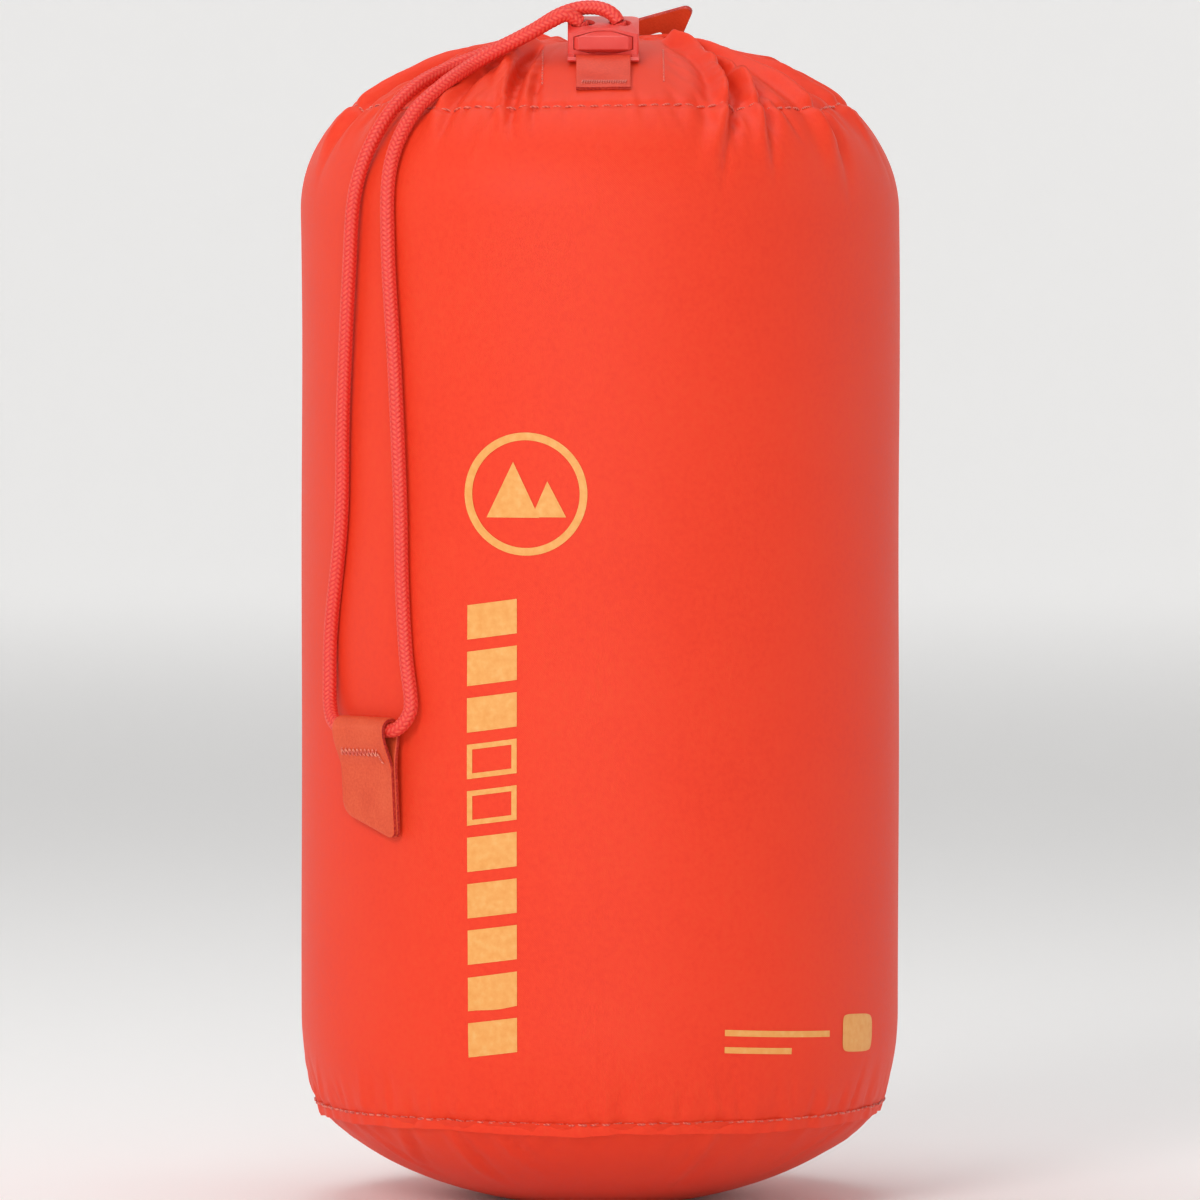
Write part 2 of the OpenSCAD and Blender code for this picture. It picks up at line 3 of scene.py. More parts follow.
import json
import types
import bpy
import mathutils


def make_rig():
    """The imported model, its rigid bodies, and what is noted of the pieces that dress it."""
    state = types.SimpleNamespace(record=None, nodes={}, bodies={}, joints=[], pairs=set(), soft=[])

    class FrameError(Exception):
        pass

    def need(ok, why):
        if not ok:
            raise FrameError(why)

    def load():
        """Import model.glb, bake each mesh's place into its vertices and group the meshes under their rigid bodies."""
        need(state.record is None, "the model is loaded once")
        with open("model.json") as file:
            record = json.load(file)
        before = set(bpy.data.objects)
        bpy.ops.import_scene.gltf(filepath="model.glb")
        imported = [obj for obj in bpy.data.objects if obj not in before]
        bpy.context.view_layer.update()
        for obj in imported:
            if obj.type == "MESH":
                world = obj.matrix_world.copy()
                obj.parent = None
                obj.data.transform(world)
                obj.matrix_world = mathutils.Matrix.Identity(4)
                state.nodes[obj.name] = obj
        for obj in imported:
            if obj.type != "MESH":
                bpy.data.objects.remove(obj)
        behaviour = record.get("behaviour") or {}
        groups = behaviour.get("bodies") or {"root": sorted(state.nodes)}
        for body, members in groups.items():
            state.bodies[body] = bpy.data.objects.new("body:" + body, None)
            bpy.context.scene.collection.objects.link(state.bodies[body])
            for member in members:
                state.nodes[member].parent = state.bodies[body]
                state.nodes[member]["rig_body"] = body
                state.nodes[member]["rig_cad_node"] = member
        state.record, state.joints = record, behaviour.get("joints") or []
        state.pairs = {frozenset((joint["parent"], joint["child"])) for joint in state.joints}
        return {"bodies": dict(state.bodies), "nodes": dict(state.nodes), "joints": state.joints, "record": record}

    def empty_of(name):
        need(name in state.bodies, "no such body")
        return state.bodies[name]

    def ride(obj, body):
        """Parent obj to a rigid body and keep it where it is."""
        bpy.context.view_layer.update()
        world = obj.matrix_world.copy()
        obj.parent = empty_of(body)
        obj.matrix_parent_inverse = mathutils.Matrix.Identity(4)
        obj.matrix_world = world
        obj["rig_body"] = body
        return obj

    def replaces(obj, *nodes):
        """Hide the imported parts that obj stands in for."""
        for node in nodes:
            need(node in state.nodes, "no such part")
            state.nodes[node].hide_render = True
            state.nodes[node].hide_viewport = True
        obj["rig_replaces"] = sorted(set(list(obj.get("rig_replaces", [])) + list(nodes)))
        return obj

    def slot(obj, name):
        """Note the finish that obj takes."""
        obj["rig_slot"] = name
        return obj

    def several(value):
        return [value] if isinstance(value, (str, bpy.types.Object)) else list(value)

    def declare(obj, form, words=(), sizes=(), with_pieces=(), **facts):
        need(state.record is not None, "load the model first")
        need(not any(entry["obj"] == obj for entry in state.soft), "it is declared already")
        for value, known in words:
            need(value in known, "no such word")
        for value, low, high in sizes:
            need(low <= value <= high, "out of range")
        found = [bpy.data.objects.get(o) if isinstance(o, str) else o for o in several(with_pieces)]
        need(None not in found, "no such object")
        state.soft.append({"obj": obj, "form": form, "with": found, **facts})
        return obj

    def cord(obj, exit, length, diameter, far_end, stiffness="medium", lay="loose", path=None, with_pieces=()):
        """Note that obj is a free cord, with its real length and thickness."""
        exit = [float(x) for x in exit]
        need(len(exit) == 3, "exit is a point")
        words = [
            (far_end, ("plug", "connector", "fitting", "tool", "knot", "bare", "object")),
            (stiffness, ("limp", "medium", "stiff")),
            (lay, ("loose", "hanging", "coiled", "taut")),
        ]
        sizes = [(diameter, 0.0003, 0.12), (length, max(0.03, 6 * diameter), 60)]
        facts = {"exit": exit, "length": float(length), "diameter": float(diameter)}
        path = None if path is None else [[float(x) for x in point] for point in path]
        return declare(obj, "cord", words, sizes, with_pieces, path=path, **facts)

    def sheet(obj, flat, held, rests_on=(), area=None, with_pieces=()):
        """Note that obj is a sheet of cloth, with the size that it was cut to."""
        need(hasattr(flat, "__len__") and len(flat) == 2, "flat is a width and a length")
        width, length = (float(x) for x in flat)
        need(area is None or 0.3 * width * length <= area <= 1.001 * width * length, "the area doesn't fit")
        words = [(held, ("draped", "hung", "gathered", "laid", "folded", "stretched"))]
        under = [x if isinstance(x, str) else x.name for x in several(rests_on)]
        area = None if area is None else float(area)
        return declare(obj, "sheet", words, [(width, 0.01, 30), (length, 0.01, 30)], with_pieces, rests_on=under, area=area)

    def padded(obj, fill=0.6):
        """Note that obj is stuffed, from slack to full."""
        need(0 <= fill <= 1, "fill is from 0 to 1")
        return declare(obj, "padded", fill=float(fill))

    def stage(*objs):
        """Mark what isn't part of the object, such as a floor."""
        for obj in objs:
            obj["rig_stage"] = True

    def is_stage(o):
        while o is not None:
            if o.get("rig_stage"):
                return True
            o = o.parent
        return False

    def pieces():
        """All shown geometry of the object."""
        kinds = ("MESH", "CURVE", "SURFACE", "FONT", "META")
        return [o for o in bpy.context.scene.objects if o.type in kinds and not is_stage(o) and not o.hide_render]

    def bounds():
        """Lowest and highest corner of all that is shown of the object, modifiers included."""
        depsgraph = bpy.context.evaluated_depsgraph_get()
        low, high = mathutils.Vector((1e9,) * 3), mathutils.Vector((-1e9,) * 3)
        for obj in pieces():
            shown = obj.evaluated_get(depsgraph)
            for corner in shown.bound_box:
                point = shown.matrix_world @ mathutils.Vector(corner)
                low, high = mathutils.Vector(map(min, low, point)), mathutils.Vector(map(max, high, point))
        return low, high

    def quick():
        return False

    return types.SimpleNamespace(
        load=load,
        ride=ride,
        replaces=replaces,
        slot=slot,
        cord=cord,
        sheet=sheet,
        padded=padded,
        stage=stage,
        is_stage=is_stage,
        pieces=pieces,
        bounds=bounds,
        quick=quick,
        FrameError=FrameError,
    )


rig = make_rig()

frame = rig.load()
cad_low, cad_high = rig.bounds()

import json
import math
import random

import bmesh
import bpy
import numpy as np
from mathutils import Vector
from mathutils.kdtree import KDTree

MM = 0.001
draw = random.Random(11)

# ------------ the sack's own sizes, in metres
SACK_R = 0.064
WALL_TOP = 0.2115
PLAIN_WALL = (0.046, 0.186)  # the cloth's rows are closer together below and above this
SEAM_Z = 0.021  # the base seam's stitches
FOLD_Z = 0.0186  # the lower edge of the tube, lapped over the base
FOOT_TOP = 0.040  # below this the wall draws in towards the seam
FOOT_IN = 0.003
SHOULDER_R = 0.028
SHOULDER_END = math.radians(62)
CROWN_R = 0.110  # the flatter arc from the shoulder to the mouth
CROWN_END = math.radians(78.2)
HEM_ANGLE = math.radians(50.5)  # where the hem's stitches lie on the shoulder's arc
# The cloth as it rolls into the mouth, as (radius, height).
RIM = [(0.0152, 0.2476), (0.0120, 0.2479), (0.0092, 0.2467), (0.0080, 0.2448), (0.0088, 0.2433),
       (0.0118, 0.2426)]
SHOULDER_C = np.array([SACK_R - SHOULDER_R, WALL_TOP])
CROWN_C = SHOULDER_C + (SHOULDER_R - CROWN_R) * np.array([math.cos(SHOULDER_END), math.sin(SHOULDER_END)])
FACING = (-0.0121, 0.0133)  # the two columns of stitches, left and right of the middle
FACING_REACH = (0.022, 0.044)

CORD_D = 0.003


def in_metres(route):
    return [tuple(x * MM for x in point) for point in route]


# The cord's way through the lock and down the front, and its two ways up from the hem.
LOOP_ROUTE = in_metres([
    (3.9, -31.2, 251), (2.9, -31, 252.5), (1.2, -30.5, 253.6), (-1.5, -29.6, 254.2), (-5, -29, 253.9),
    (-9, -28, 252.5), (-14, -27, 249.5), (-20, -26.4, 246.4), (-26, -26.2, 243.9), (-32, -27.8, 241.4),
    (-39.2, -33.8, 237.2), (-46.2, -39.1, 228.8), (-51.2, -40.6, 216), (-52.7, -39.3, 198),
    (-54, -37.4, 170), (-54.5, -36.7, 146), (-56.7, -33.2, 124), (-57, -33.2, 112),
    (-56.9, -34.4, 107.2), (-56, -37.3, 104), (-53.7, -40.7, 102.7), (-49, -45.7, 102.7),
    (-44.6, -50.4, 102.7), (-42.2, -52.4, 103.3), (-40.1, -53.3, 105.8), (-39.5, -53.2, 109.2),
    (-40.6, -51.7, 119), (-41.4, -51, 134), (-41.8, -50.7, 152), (-42.9, -49.7, 178),
    (-44.3, -48.5, 203), (-43.9, -47.3, 220), (-39.6, -43.4, 231), (-33, -38.1, 237.7), (-27, -32, 242),
    (-22, -30.7, 245), (-15, -31, 248.6), (-10.5, -31.6, 251.2), (-7, -32, 252.6), (-4.1, -31.2, 251),
])
RIGHT_BORE = in_metres([
    (8.4, -18, 244.2), (5.6, -23, 242.9), (4.6, -26.3, 242.2), (4.45, -28.4, 242.6), (4.45, -29.2, 244),
    (4.45, -30, 246.6), (4.4, -30.7, 249), (3.9, -31.2, 251),
])
LEFT_BORE = in_metres([
    (-7.4, -18, 244.2), (-4.4, -23, 242.9), (-3.2, -26.3, 242.2), (-3.05, -28.4, 242.6),
    (-3.05, -29.2, 244), (-3.1, -30, 246.6), (-3.4, -30.7, 249), (-4.1, -31.2, 251),
])
HEM_CORD_R = 0.017  # the ring that the cord makes inside the hem
HEM_CORD_Z = 0.2449


# ------------ camera
def make_camera():
    data = bpy.data.cameras.new("camera")
    data.lens = 280
    data.sensor_width = 36
    camera = bpy.data.objects.new("camera", data)
    bpy.context.collection.objects.link(camera)
    camera.location = (0, -2.0, 0.205)
    aim = Vector((0, 0, 0.1281)) - camera.location
    camera.rotation_euler = aim.to_track_quat("-Z", "Y").to_euler()
    data.clip_start = 0.1
    data.clip_end = 20
    bpy.context.scene.camera = camera


# ------------ meshes
def add_object(name, mesh, material):
    thing = bpy.data.objects.new(name, mesh)
    bpy.context.collection.objects.link(thing)
    if material:
        mesh.materials.append(material)
    for face in mesh.polygons:
        face.use_smooth = True
    return thing


def make_mesh(name, points, faces, material, uv=None, attributes=None):
    """uv holds one (u, v) for each point; attributes holds one number for each point, by name."""
    mesh = bpy.data.meshes.new(name)
    mesh.from_pydata([tuple(map(float, p)) for p in points], [], [tuple(map(int, f)) for f in faces])
    if uv is not None:
        layer = mesh.uv_layers.new(name="flat")
        index = np.empty(len(mesh.loops), dtype=np.int32)
        mesh.loops.foreach_get("vertex_index", index)
        layer.data.foreach_set("uv", np.asarray(uv, dtype=np.float32)[index].ravel())
    for key, values in (attributes or {}).items():
        layer = mesh.attributes.new(key, "FLOAT", "POINT")
        layer.data.foreach_set("value", np.asarray(values, dtype=np.float32).ravel())
    mesh.validate()
    return add_object(name, mesh, material)


def settle(piece, body, slot, *nodes):
    """Everything that a finished piece needs: what it stands for, its finish and the body it rides on."""
    if nodes:
        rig.replaces(piece, *nodes)
    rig.slot(piece, slot)
    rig.ride(piece, body)
    return piece


def grid_faces(rows, columns, closed, offset=0, flip=False):
    faces = []
    for i in range(rows - 1):
        near, far = offset + i * columns, offset + (i + 1) * columns
        for j in range(columns if closed else columns - 1):
            after = (j + 1) % columns
            face = (near + j, near + after, far + after, far + j)
            faces.append(face[::-1] if flip else face)
    return faces


def cap(first, count, flip=False):
    """One face on a ring of points that starts at first."""
    face = tuple(range(first, first + count))
    return face[::-1] if flip else face


def smoothstep(x, low, high):
    t = np.clip((np.asarray(x, dtype=float) - low) / (high - low), 0, 1)
    return t * t * (3 - 2 * t)


def wrap(a):
    """An angle brought between half a turn back and half a turn on."""
    return (a + math.pi) % (2 * math.pi) - math.pi


def bell(x, width):
    return np.exp(-((np.asarray(x, dtype=float) / width) ** 2))


def unit(v):
    v = np.asarray(v, dtype=float)
    return v / np.maximum(np.linalg.norm(v, axis=-1, keepdims=True), 1e-12)


def lengths_along(line):
    """How far each point of a line is from its start."""
    return np.concatenate([[0], np.cumsum(np.linalg.norm(np.diff(line, axis=0), axis=1))])


def full_turn(count):
    return np.linspace(0, 2 * math.pi, count, endpoint=False)


def smooth_path(route, step):
    """Catmull-Rom through the route's points, then evenly spaced by about step."""
    p = np.array(route, dtype=float)
    p = np.vstack([2 * p[0] - p[1], p, 2 * p[-1] - p[-2]])
    fine = []
    for a, b, c, d in zip(p[:-3], p[1:-2], p[2:-1], p[3:]):
        for t in np.linspace(0, 1, 24, endpoint=False):
            fine.append(0.5 * (2 * b + (c - a) * t + (2 * a - 5 * b + 4 * c - d) * t**2
                               + (3 * b - a - 3 * c + d) * t**3))
    fine.append(p[-2])
    fine = np.array(fine)
    along = lengths_along(fine)
    even = np.linspace(0, along[-1], max(2, int(round(along[-1] / step))) + 1)
    return np.stack([np.interp(even, along, fine[:, k]) for k in range(3)], axis=1), along[-1]


def path_frames(path):
    """Two normals at each point of a path, without twist."""
    heading = unit(np.gradient(path, axis=0))
    side = np.empty_like(path)
    n = np.array([0.3, 0.5, 0.8])
    for i, t in enumerate(heading):
        n = unit(n - n.dot(t) * t)
        side[i] = n
    return side, np.cross(heading, side)


def tube_points(path, radii, sides):
    """One ring of points for each point of the path; radii is rings by sides."""
    n, b = path_frames(path)
    angle = full_turn(sides)
    ring = np.cos(angle)[None, :, None] * n[:, None, :] + np.sin(angle)[None, :, None] * b[:, None, :]
    return path[:, None, :] + radii[:, :, None] * ring


def capped_tube(points, offset=0):
    rings, sides = points.shape[:2]
    ends = [cap(offset, sides, flip=True), cap(offset + (rings - 1) * sides, sides)]
    return grid_faces(rings, sides, True, offset) + ends


# ------------ materials
DYE = 0.77  # how much of its colour a surface gives back under the studio's light


def srgb(text, strength=1.0):
    """The linear colour of a six-letter hexadecimal one."""
    value = [int(text[i:i + 2], 16) / 255 for i in (0, 2, 4)]
    linear = [v / 12.92 if v <= 0.04045 else ((v + 0.055) / 1.055) ** 2.4 for v in value]
    return tuple(strength * v for v in linear) + (1,)


class Finish:
    """A new material, with short ways to add nodes to it and to join them."""

    def __init__(self, name):
        self.material = bpy.data.materials.new(name)
        self.material.use_nodes = True
        self.nodes = self.material.node_tree.nodes
        self.shader = self.nodes["Principled BSDF"]

    def put(self, value, socket):
        """Joins a node's output to the socket, or sets the socket to a plain value."""
        if isinstance(value, bpy.types.NodeSocket):
            self.material.node_tree.links.new(value, socket)
        else:
            socket.default_value = value

    def node(self, kind, inputs):
        made = self.nodes.new("ShaderNode" + kind)
        for name, value in inputs.items():
            self.put(value, made.inputs[name])
        return made

    def set(self, inputs):
        for name, value in inputs.items():
            self.put(value, self.shader.inputs[name])

    def place(self):
        return self.node("TexCoord", {}).outputs["Object"]

    def noise(self, scale, detail):
        inputs = {"Vector": self.place(), "Scale": scale, "Detail": detail}
        return self.node("TexNoise", inputs).outputs["Fac"]

    def attribute(self, name):
        made = self.node("Attribute", {})
        made.attribute_name = name
        return made.outputs["Fac"]

    def math(self, operation, *values):
        made = self.node("Math", dict(enumerate(values)))
        made.operation = operation
        return made.outputs[0]

    def sum(self, a, share, b, other=1.0):
        """a times share, plus b times other."""
        scaled = b if other == 1.0 else self.math("MULTIPLY", b, other)
        return self.math("ADD", self.math("MULTIPLY", a, share), scaled)

    def colours(self, source, stops):
        ramp = self.node("ValToRGB", {"Fac": source})
        while len(ramp.color_ramp.elements) < len(stops):
            ramp.color_ramp.elements.new(0.5)
        for element, (place, colour) in zip(ramp.color_ramp.elements, stops):
            element.position = place
            element.color = srgb(colour, DYE)
        self.set({"Base Color": ramp.outputs["Color"]})

    def bump(self, height, strength, distance):
        made = self.node("Bump", {"Height": height, "Strength": strength, "Distance": distance})
        self.set({"Normal": made.outputs["Normal"]})

    def weave(self, pitch):
        """Crossing threads from the flat coordinates, in metres."""
        uv = self.node("UVMap", {})
        uv.uv_map = "flat"
        flat = self.node("SeparateXYZ", {"Vector": uv.outputs["UV"]})
        turns = [self.math("MULTIPLY", flat.outputs[axis], 2 * math.pi / pitch) for axis in "XY"]
        return self.math("MULTIPLY", *[self.math("SINE", turn) for turn in turns])


def fabric_material(name, stops, sheen=0.05, pitch=0.5 * MM):
    finish = Finish(name)
    cloudy = finish.noise(38, 3)
    fine = finish.noise(900, 2)
    finish.colours(finish.sum(cloudy, 0.35, fine, 0.65), stops)
    finish.set({"Roughness": finish.sum(fine, 0.16, 0.44), "Specular IOR Level": 0.22,
                "Sheen Weight": sheen, "Sheen Roughness": 0.35, "Sheen Tint": srgb("FF9A78")})
    finish.bump(finish.sum(finish.weave(pitch), 0.35, fine), 0.22, 0.12 * MM)
    return finish.material


def cord_material():
    finish = Finish("braided_cord")
    fibre = finish.noise(5200, 2)
    # The strands' height darkens the colour in the gaps between strands and lightens it on their tops: painted shade
    # and painted highlight. The fibre noise adds tone.
    stops = [(0.1, "C4161C"), (0.5, "EE2C24"), (0.85, "FF3E30"), (1.0, "FF5844")]
    finish.colours(finish.sum(fibre, 0.22, finish.attribute("relief_and_shade")), stops)
    finish.set({"Roughness": 0.52, "Sheen Weight": 0.15, "Sheen Tint": srgb("FF8270")})
    finish.bump(fibre, 0.3, 0.06 * MM)
    return finish.material


def plastic_material():
    finish = Finish("lock_plastic")
    grain = finish.noise(4200, 2)
    finish.colours(finish.noise(160, 3), [(0.25, "F23A30"), (0.6, "FA4A3F"), (0.85, "FF584B")])
    finish.set({"Roughness": finish.sum(grain, 0.14, 0.3), "Specular IOR Level": 0.6,
                "Coat Weight": 0.5, "Coat Roughness": 0.3})
    finish.bump(grain, 0.12, 0.03 * MM)
    return finish.material


def tape_material(name, stops):
    """Coated tape with a speckled face, or the threads of its core at a cut edge."""
    finish = Finish(name)
    speckle = finish.noise(2100, 4)
    finish.colours(finish.sum(speckle, 0.6, finish.noise(170, 3), 0.4), stops)
    finish.set({"Roughness": 0.48, "Specular IOR Level": 0.3})
    finish.bump(speckle, 0.25, 0.07 * MM)
    return finish.material


def thread_material(name, stops):
    finish = Finish(name)
    plies = finish.node("TexWave", {"Vector": finish.place(), "Scale": 900, "Distortion": 1.5})
    plies.bands_direction = "DIAGONAL"
    finish.colours(plies.outputs["Fac"], stops)
    finish.set({"Roughness": 0.5, "Sheen Weight": 0.3})
    finish.bump(plies.outputs["Fac"], 0.4, 0.05 * MM)
    return finish.material


def print_material():
    finish = Finish("screen_print")
    worn = finish.noise(700, 3)
    finish.colours(worn, [(0.3, "FBA94F"), (0.55, "FFB35C"), (0.8, "FFC070")])
    finish.set({"Roughness": 0.5})
    finish.bump(worn, 0.15, 0.03 * MM)
    return finish.material


def steel_material():
    finish = Finish("spring_steel")
    brushed = finish.noise(2600, 3)
    finish.colours(brushed, [(0.3, "8F9194"), (0.7, "C9CBCE")])
    finish.set({"Metallic": 1.0, "Roughness": finish.sum(brushed, 0.2, 0.2)})
    return finish.material


def floor_material():
    """Pale paper that glows a little where its points say so."""
    finish = Finish("studio_floor")
    finish.set({"Base Color": (0.95, 0.945, 0.94, 1), "Roughness": finish.sum(finish.noise(6, 2), 0.1, 0.7),
                "Emission Color": (1, 0.995, 0.99, 1), "Emission Strength": finish.attribute("glow")})
    return finish.material


# ------------ cords
STRANDS = 16
BRAID_PITCH = 0.52 * MM


def braid_relief(path_length, rings, sides):
    """Height of the braid's strands, from 0 in the gaps to 1 on top, for each ring and side; the cord's colour also
    uses it as painted shade in the gaps and painted highlight on top.
    """
    v = np.linspace(0, path_length, rings)[:, None] / (2 * BRAID_PITCH)
    u = np.linspace(0, 1, sides, endpoint=False)[None, :] * STRANDS
    p, q = u / 2 + v, u / 2 - v
    cell = (np.floor(p) + np.floor(q)) % 4
    over = cell < 2
    f, g = p % 1, q % 1
    across, along = np.where(over, f, g), np.where(over, cell + g, cell - 2 + f) / 2
    crown = np.sqrt(np.clip(1 - (2 * across - 1) ** 2, 0, 1))
    dive = np.clip(np.sin(math.pi * along), 0, 1) ** 0.5
    return np.clip(crown * (0.35 + 0.65 * dive), 0, 1)


def braided(name, route, material, ring_step=0.15 * MM, sides=48):
    path, length = smooth_path(route, ring_step)
    relief_and_shade = braid_relief(length, len(path), sides)
    radii = CORD_D / 2 * (0.9 + 0.13 * relief_and_shade)
    points = tube_points(path, radii, sides)
    # The strands' height shapes the tube. It is also kept as an attribute that paints shade in the gaps and highlight
    # on the strands' tops into the cord's colour.
    thing = make_mesh(name, points.reshape(-1, 3), capped_tube(points), material,
                      attributes={"relief_and_shade": relief_and_shade.ravel()})
    return thing, path, length


# ------------ the sack's cloth
def profile():
    """The sack's outer skin from the base seam's fold to inside the mouth, as (radius, height)."""
    line = []
    for z in np.linspace(FOLD_Z, PLAIN_WALL[0], 22):
        narrow = FOOT_IN * max(0, (FOOT_TOP - z) / (FOOT_TOP - SEAM_Z)) ** 2
        line.append((SACK_R - narrow, z))
    line += [(SACK_R, z) for z in np.linspace(*PLAIN_WALL, 20)[1:]]
    line += [(SACK_R, z) for z in np.linspace(PLAIN_WALL[1], WALL_TOP, 20)[1:]]
    for a in np.linspace(0, SHOULDER_END, 25)[1:]:
        line.append(tuple(SHOULDER_C + SHOULDER_R * np.array([math.cos(a), math.sin(a)])))
    for a in np.linspace(SHOULDER_END, CROWN_END, 27)[1:]:
        line.append(tuple(CROWN_C + CROWN_R * np.array([math.cos(a), math.sin(a)])))
    rim = [(r, 0, z) for r, z in [line[-1]] + RIM]
    rolled, _ = smooth_path(rim, 1.1 * MM)
    line += [(p[0], p[2]) for p in rolled[1:]]
    return np.array(line)


COLUMNS = 240
skin_line = profile()
skin_along = lengths_along(skin_line)
hem_r = SHOULDER_C[0] + SHOULDER_R * math.cos(HEM_ANGLE)
hem_z = SHOULDER_C[1] + SHOULDER_R * math.sin(HEM_ANGLE)
hem_row = int(np.argmin(np.abs(skin_line[:, 0] - hem_r) + np.abs(skin_line[:, 1] - hem_z)))
from_hem = (skin_along - skin_along[hem_row]) / MM  # millimetres up the cloth from the hem's stitches
angles = full_turn(COLUMNS)  # 0 at the front, growing to the right

# The larger folds: angle in degrees and distance from the hem at the top, the same two at the bottom,
# height and width. Distances, heights and widths are in millimetres.
FRONT_FOLDS = [
    (52, 36, 21, -21, 2.6, 1.9), (50, 28, 33, -19, 2.3, 1.6), (41, 16, 43, -10, 1.2, 1.3),
    (64, 36, 52, -23, 2.3, 2.3), (76, 38, 73, -19, 2.2, 2.6), (34, 12, 26, -16, 0.9, 1.1),
    (-44, 39, -25, 0, 2.7, 2.0), (-24, 27, -15.5, -10, 1.5, 1.1), (-29, 20, -20, -12, 1.4, 1.1),
    (-48, 32, -36, -15, 1.7, 1.6), (-60, 34, -55, -17, 2.0, 2.3), (-79, 38, -74, -20, 2.1, 2.5),
]


def back_folds():
    folds = []
    angle = 90
    while angle < 268:
        lean = draw.uniform(-9, 9)
        folds.append((angle + lean, draw.uniform(30, 39), angle, draw.uniform(-26, -12),
                      draw.uniform(1.6, 2.7), draw.uniform(1.7, 2.8)))
        angle += draw.uniform(9, 15)
    return folds


FOLDS = FRONT_FOLDS + back_folds()


def wrinkle_list(count, seed, reach, height):
    """Short wrinkles that leave a row of stitches: angle, lean, reach, height and width in millimetres."""
    picks = random.Random(seed)
    made = []
    for k in range(count):
        angle = 2 * math.pi * (k + picks.uniform(-0.35, 0.35)) / count
        made.append((angle, picks.uniform(-0.35, 0.35), picks.uniform(*reach),
                     picks.choice((-1, -1, 1)) * picks.uniform(*height), picks.uniform(0.5, 1.0)))
    return made


def wrinkles(made, a, r, away):
    """Their height where away is the distance in millimetres from the stitches."""
    h = 0 * a * away
    for angle, lean, reach, height, width in made:
        d = np.abs(wrap(a - angle) * r - lean * away)
        fade = smoothstep(away, -0.5, 2) * (1 - smoothstep(away, 0.35 * reach, reach))
        h += height * np.exp(-d / width) * fade
    return h


def hem_wander(a):
    """The hem's stitch line isn't quite level on the gathered cloth: millimetres up, by angle."""
    away = smoothstep(np.abs(wrap(a)), 0.15, 0.6)
    return away * (0.7 * np.sin(5 * a + 0.6) + 0.5 * np.sin(11 * a) + 0.3 * np.sin(23 * a + 1))


def facing_share(r, s, a):
    """1 where the stitched facing holds the cloth flat, 0 away from it."""
    x = np.sin(a) * r
    share = 1 - smoothstep(np.maximum(FACING[0] / MM - x, x - FACING[1] / MM), -0.3, 2.0)
    return share * (np.cos(a) > 0) * smoothstep(s, -9, 1) * (1 - smoothstep(s, 40, 47))


def held_share(r, s, a):
    """1 where the facing or the pull tab's sewn root holds the cloth, 0 away from both."""
    root = pull_point(0.4, 30.2) / MM
    far = np.hypot(r * np.sin(a) - root[0], -r * np.cos(a) - root[1])
    return np.maximum(facing_share(r, s, a), 0.9 * (1 - smoothstep(far, 5, 12)) * (s > 5))


def calm_share(r, z, a):
    """1 on the wall behind the end tab, where the cloth lies smooth under it."""
    return bell(wrap(a + END_TAB_ANGLE) * r, 12) * bell(z / MM - 91, 20)


def fold_place(fold, r, s, a):
    """Height of a fold, its width here, how far up it a place is (0 to 1) and how far to its side."""
    top_a, top_s, low_a, low_s, height, width = fold
    t = (s - low_s) / (top_s - low_s)
    centre = np.radians(low_a + (top_a - low_a) * np.clip(t, 0, 1.3) ** 1.4)
    return height, width * (0.75 + 0.5 * np.clip(1 - t, 0, 1)), t, wrap(a - centre) * r


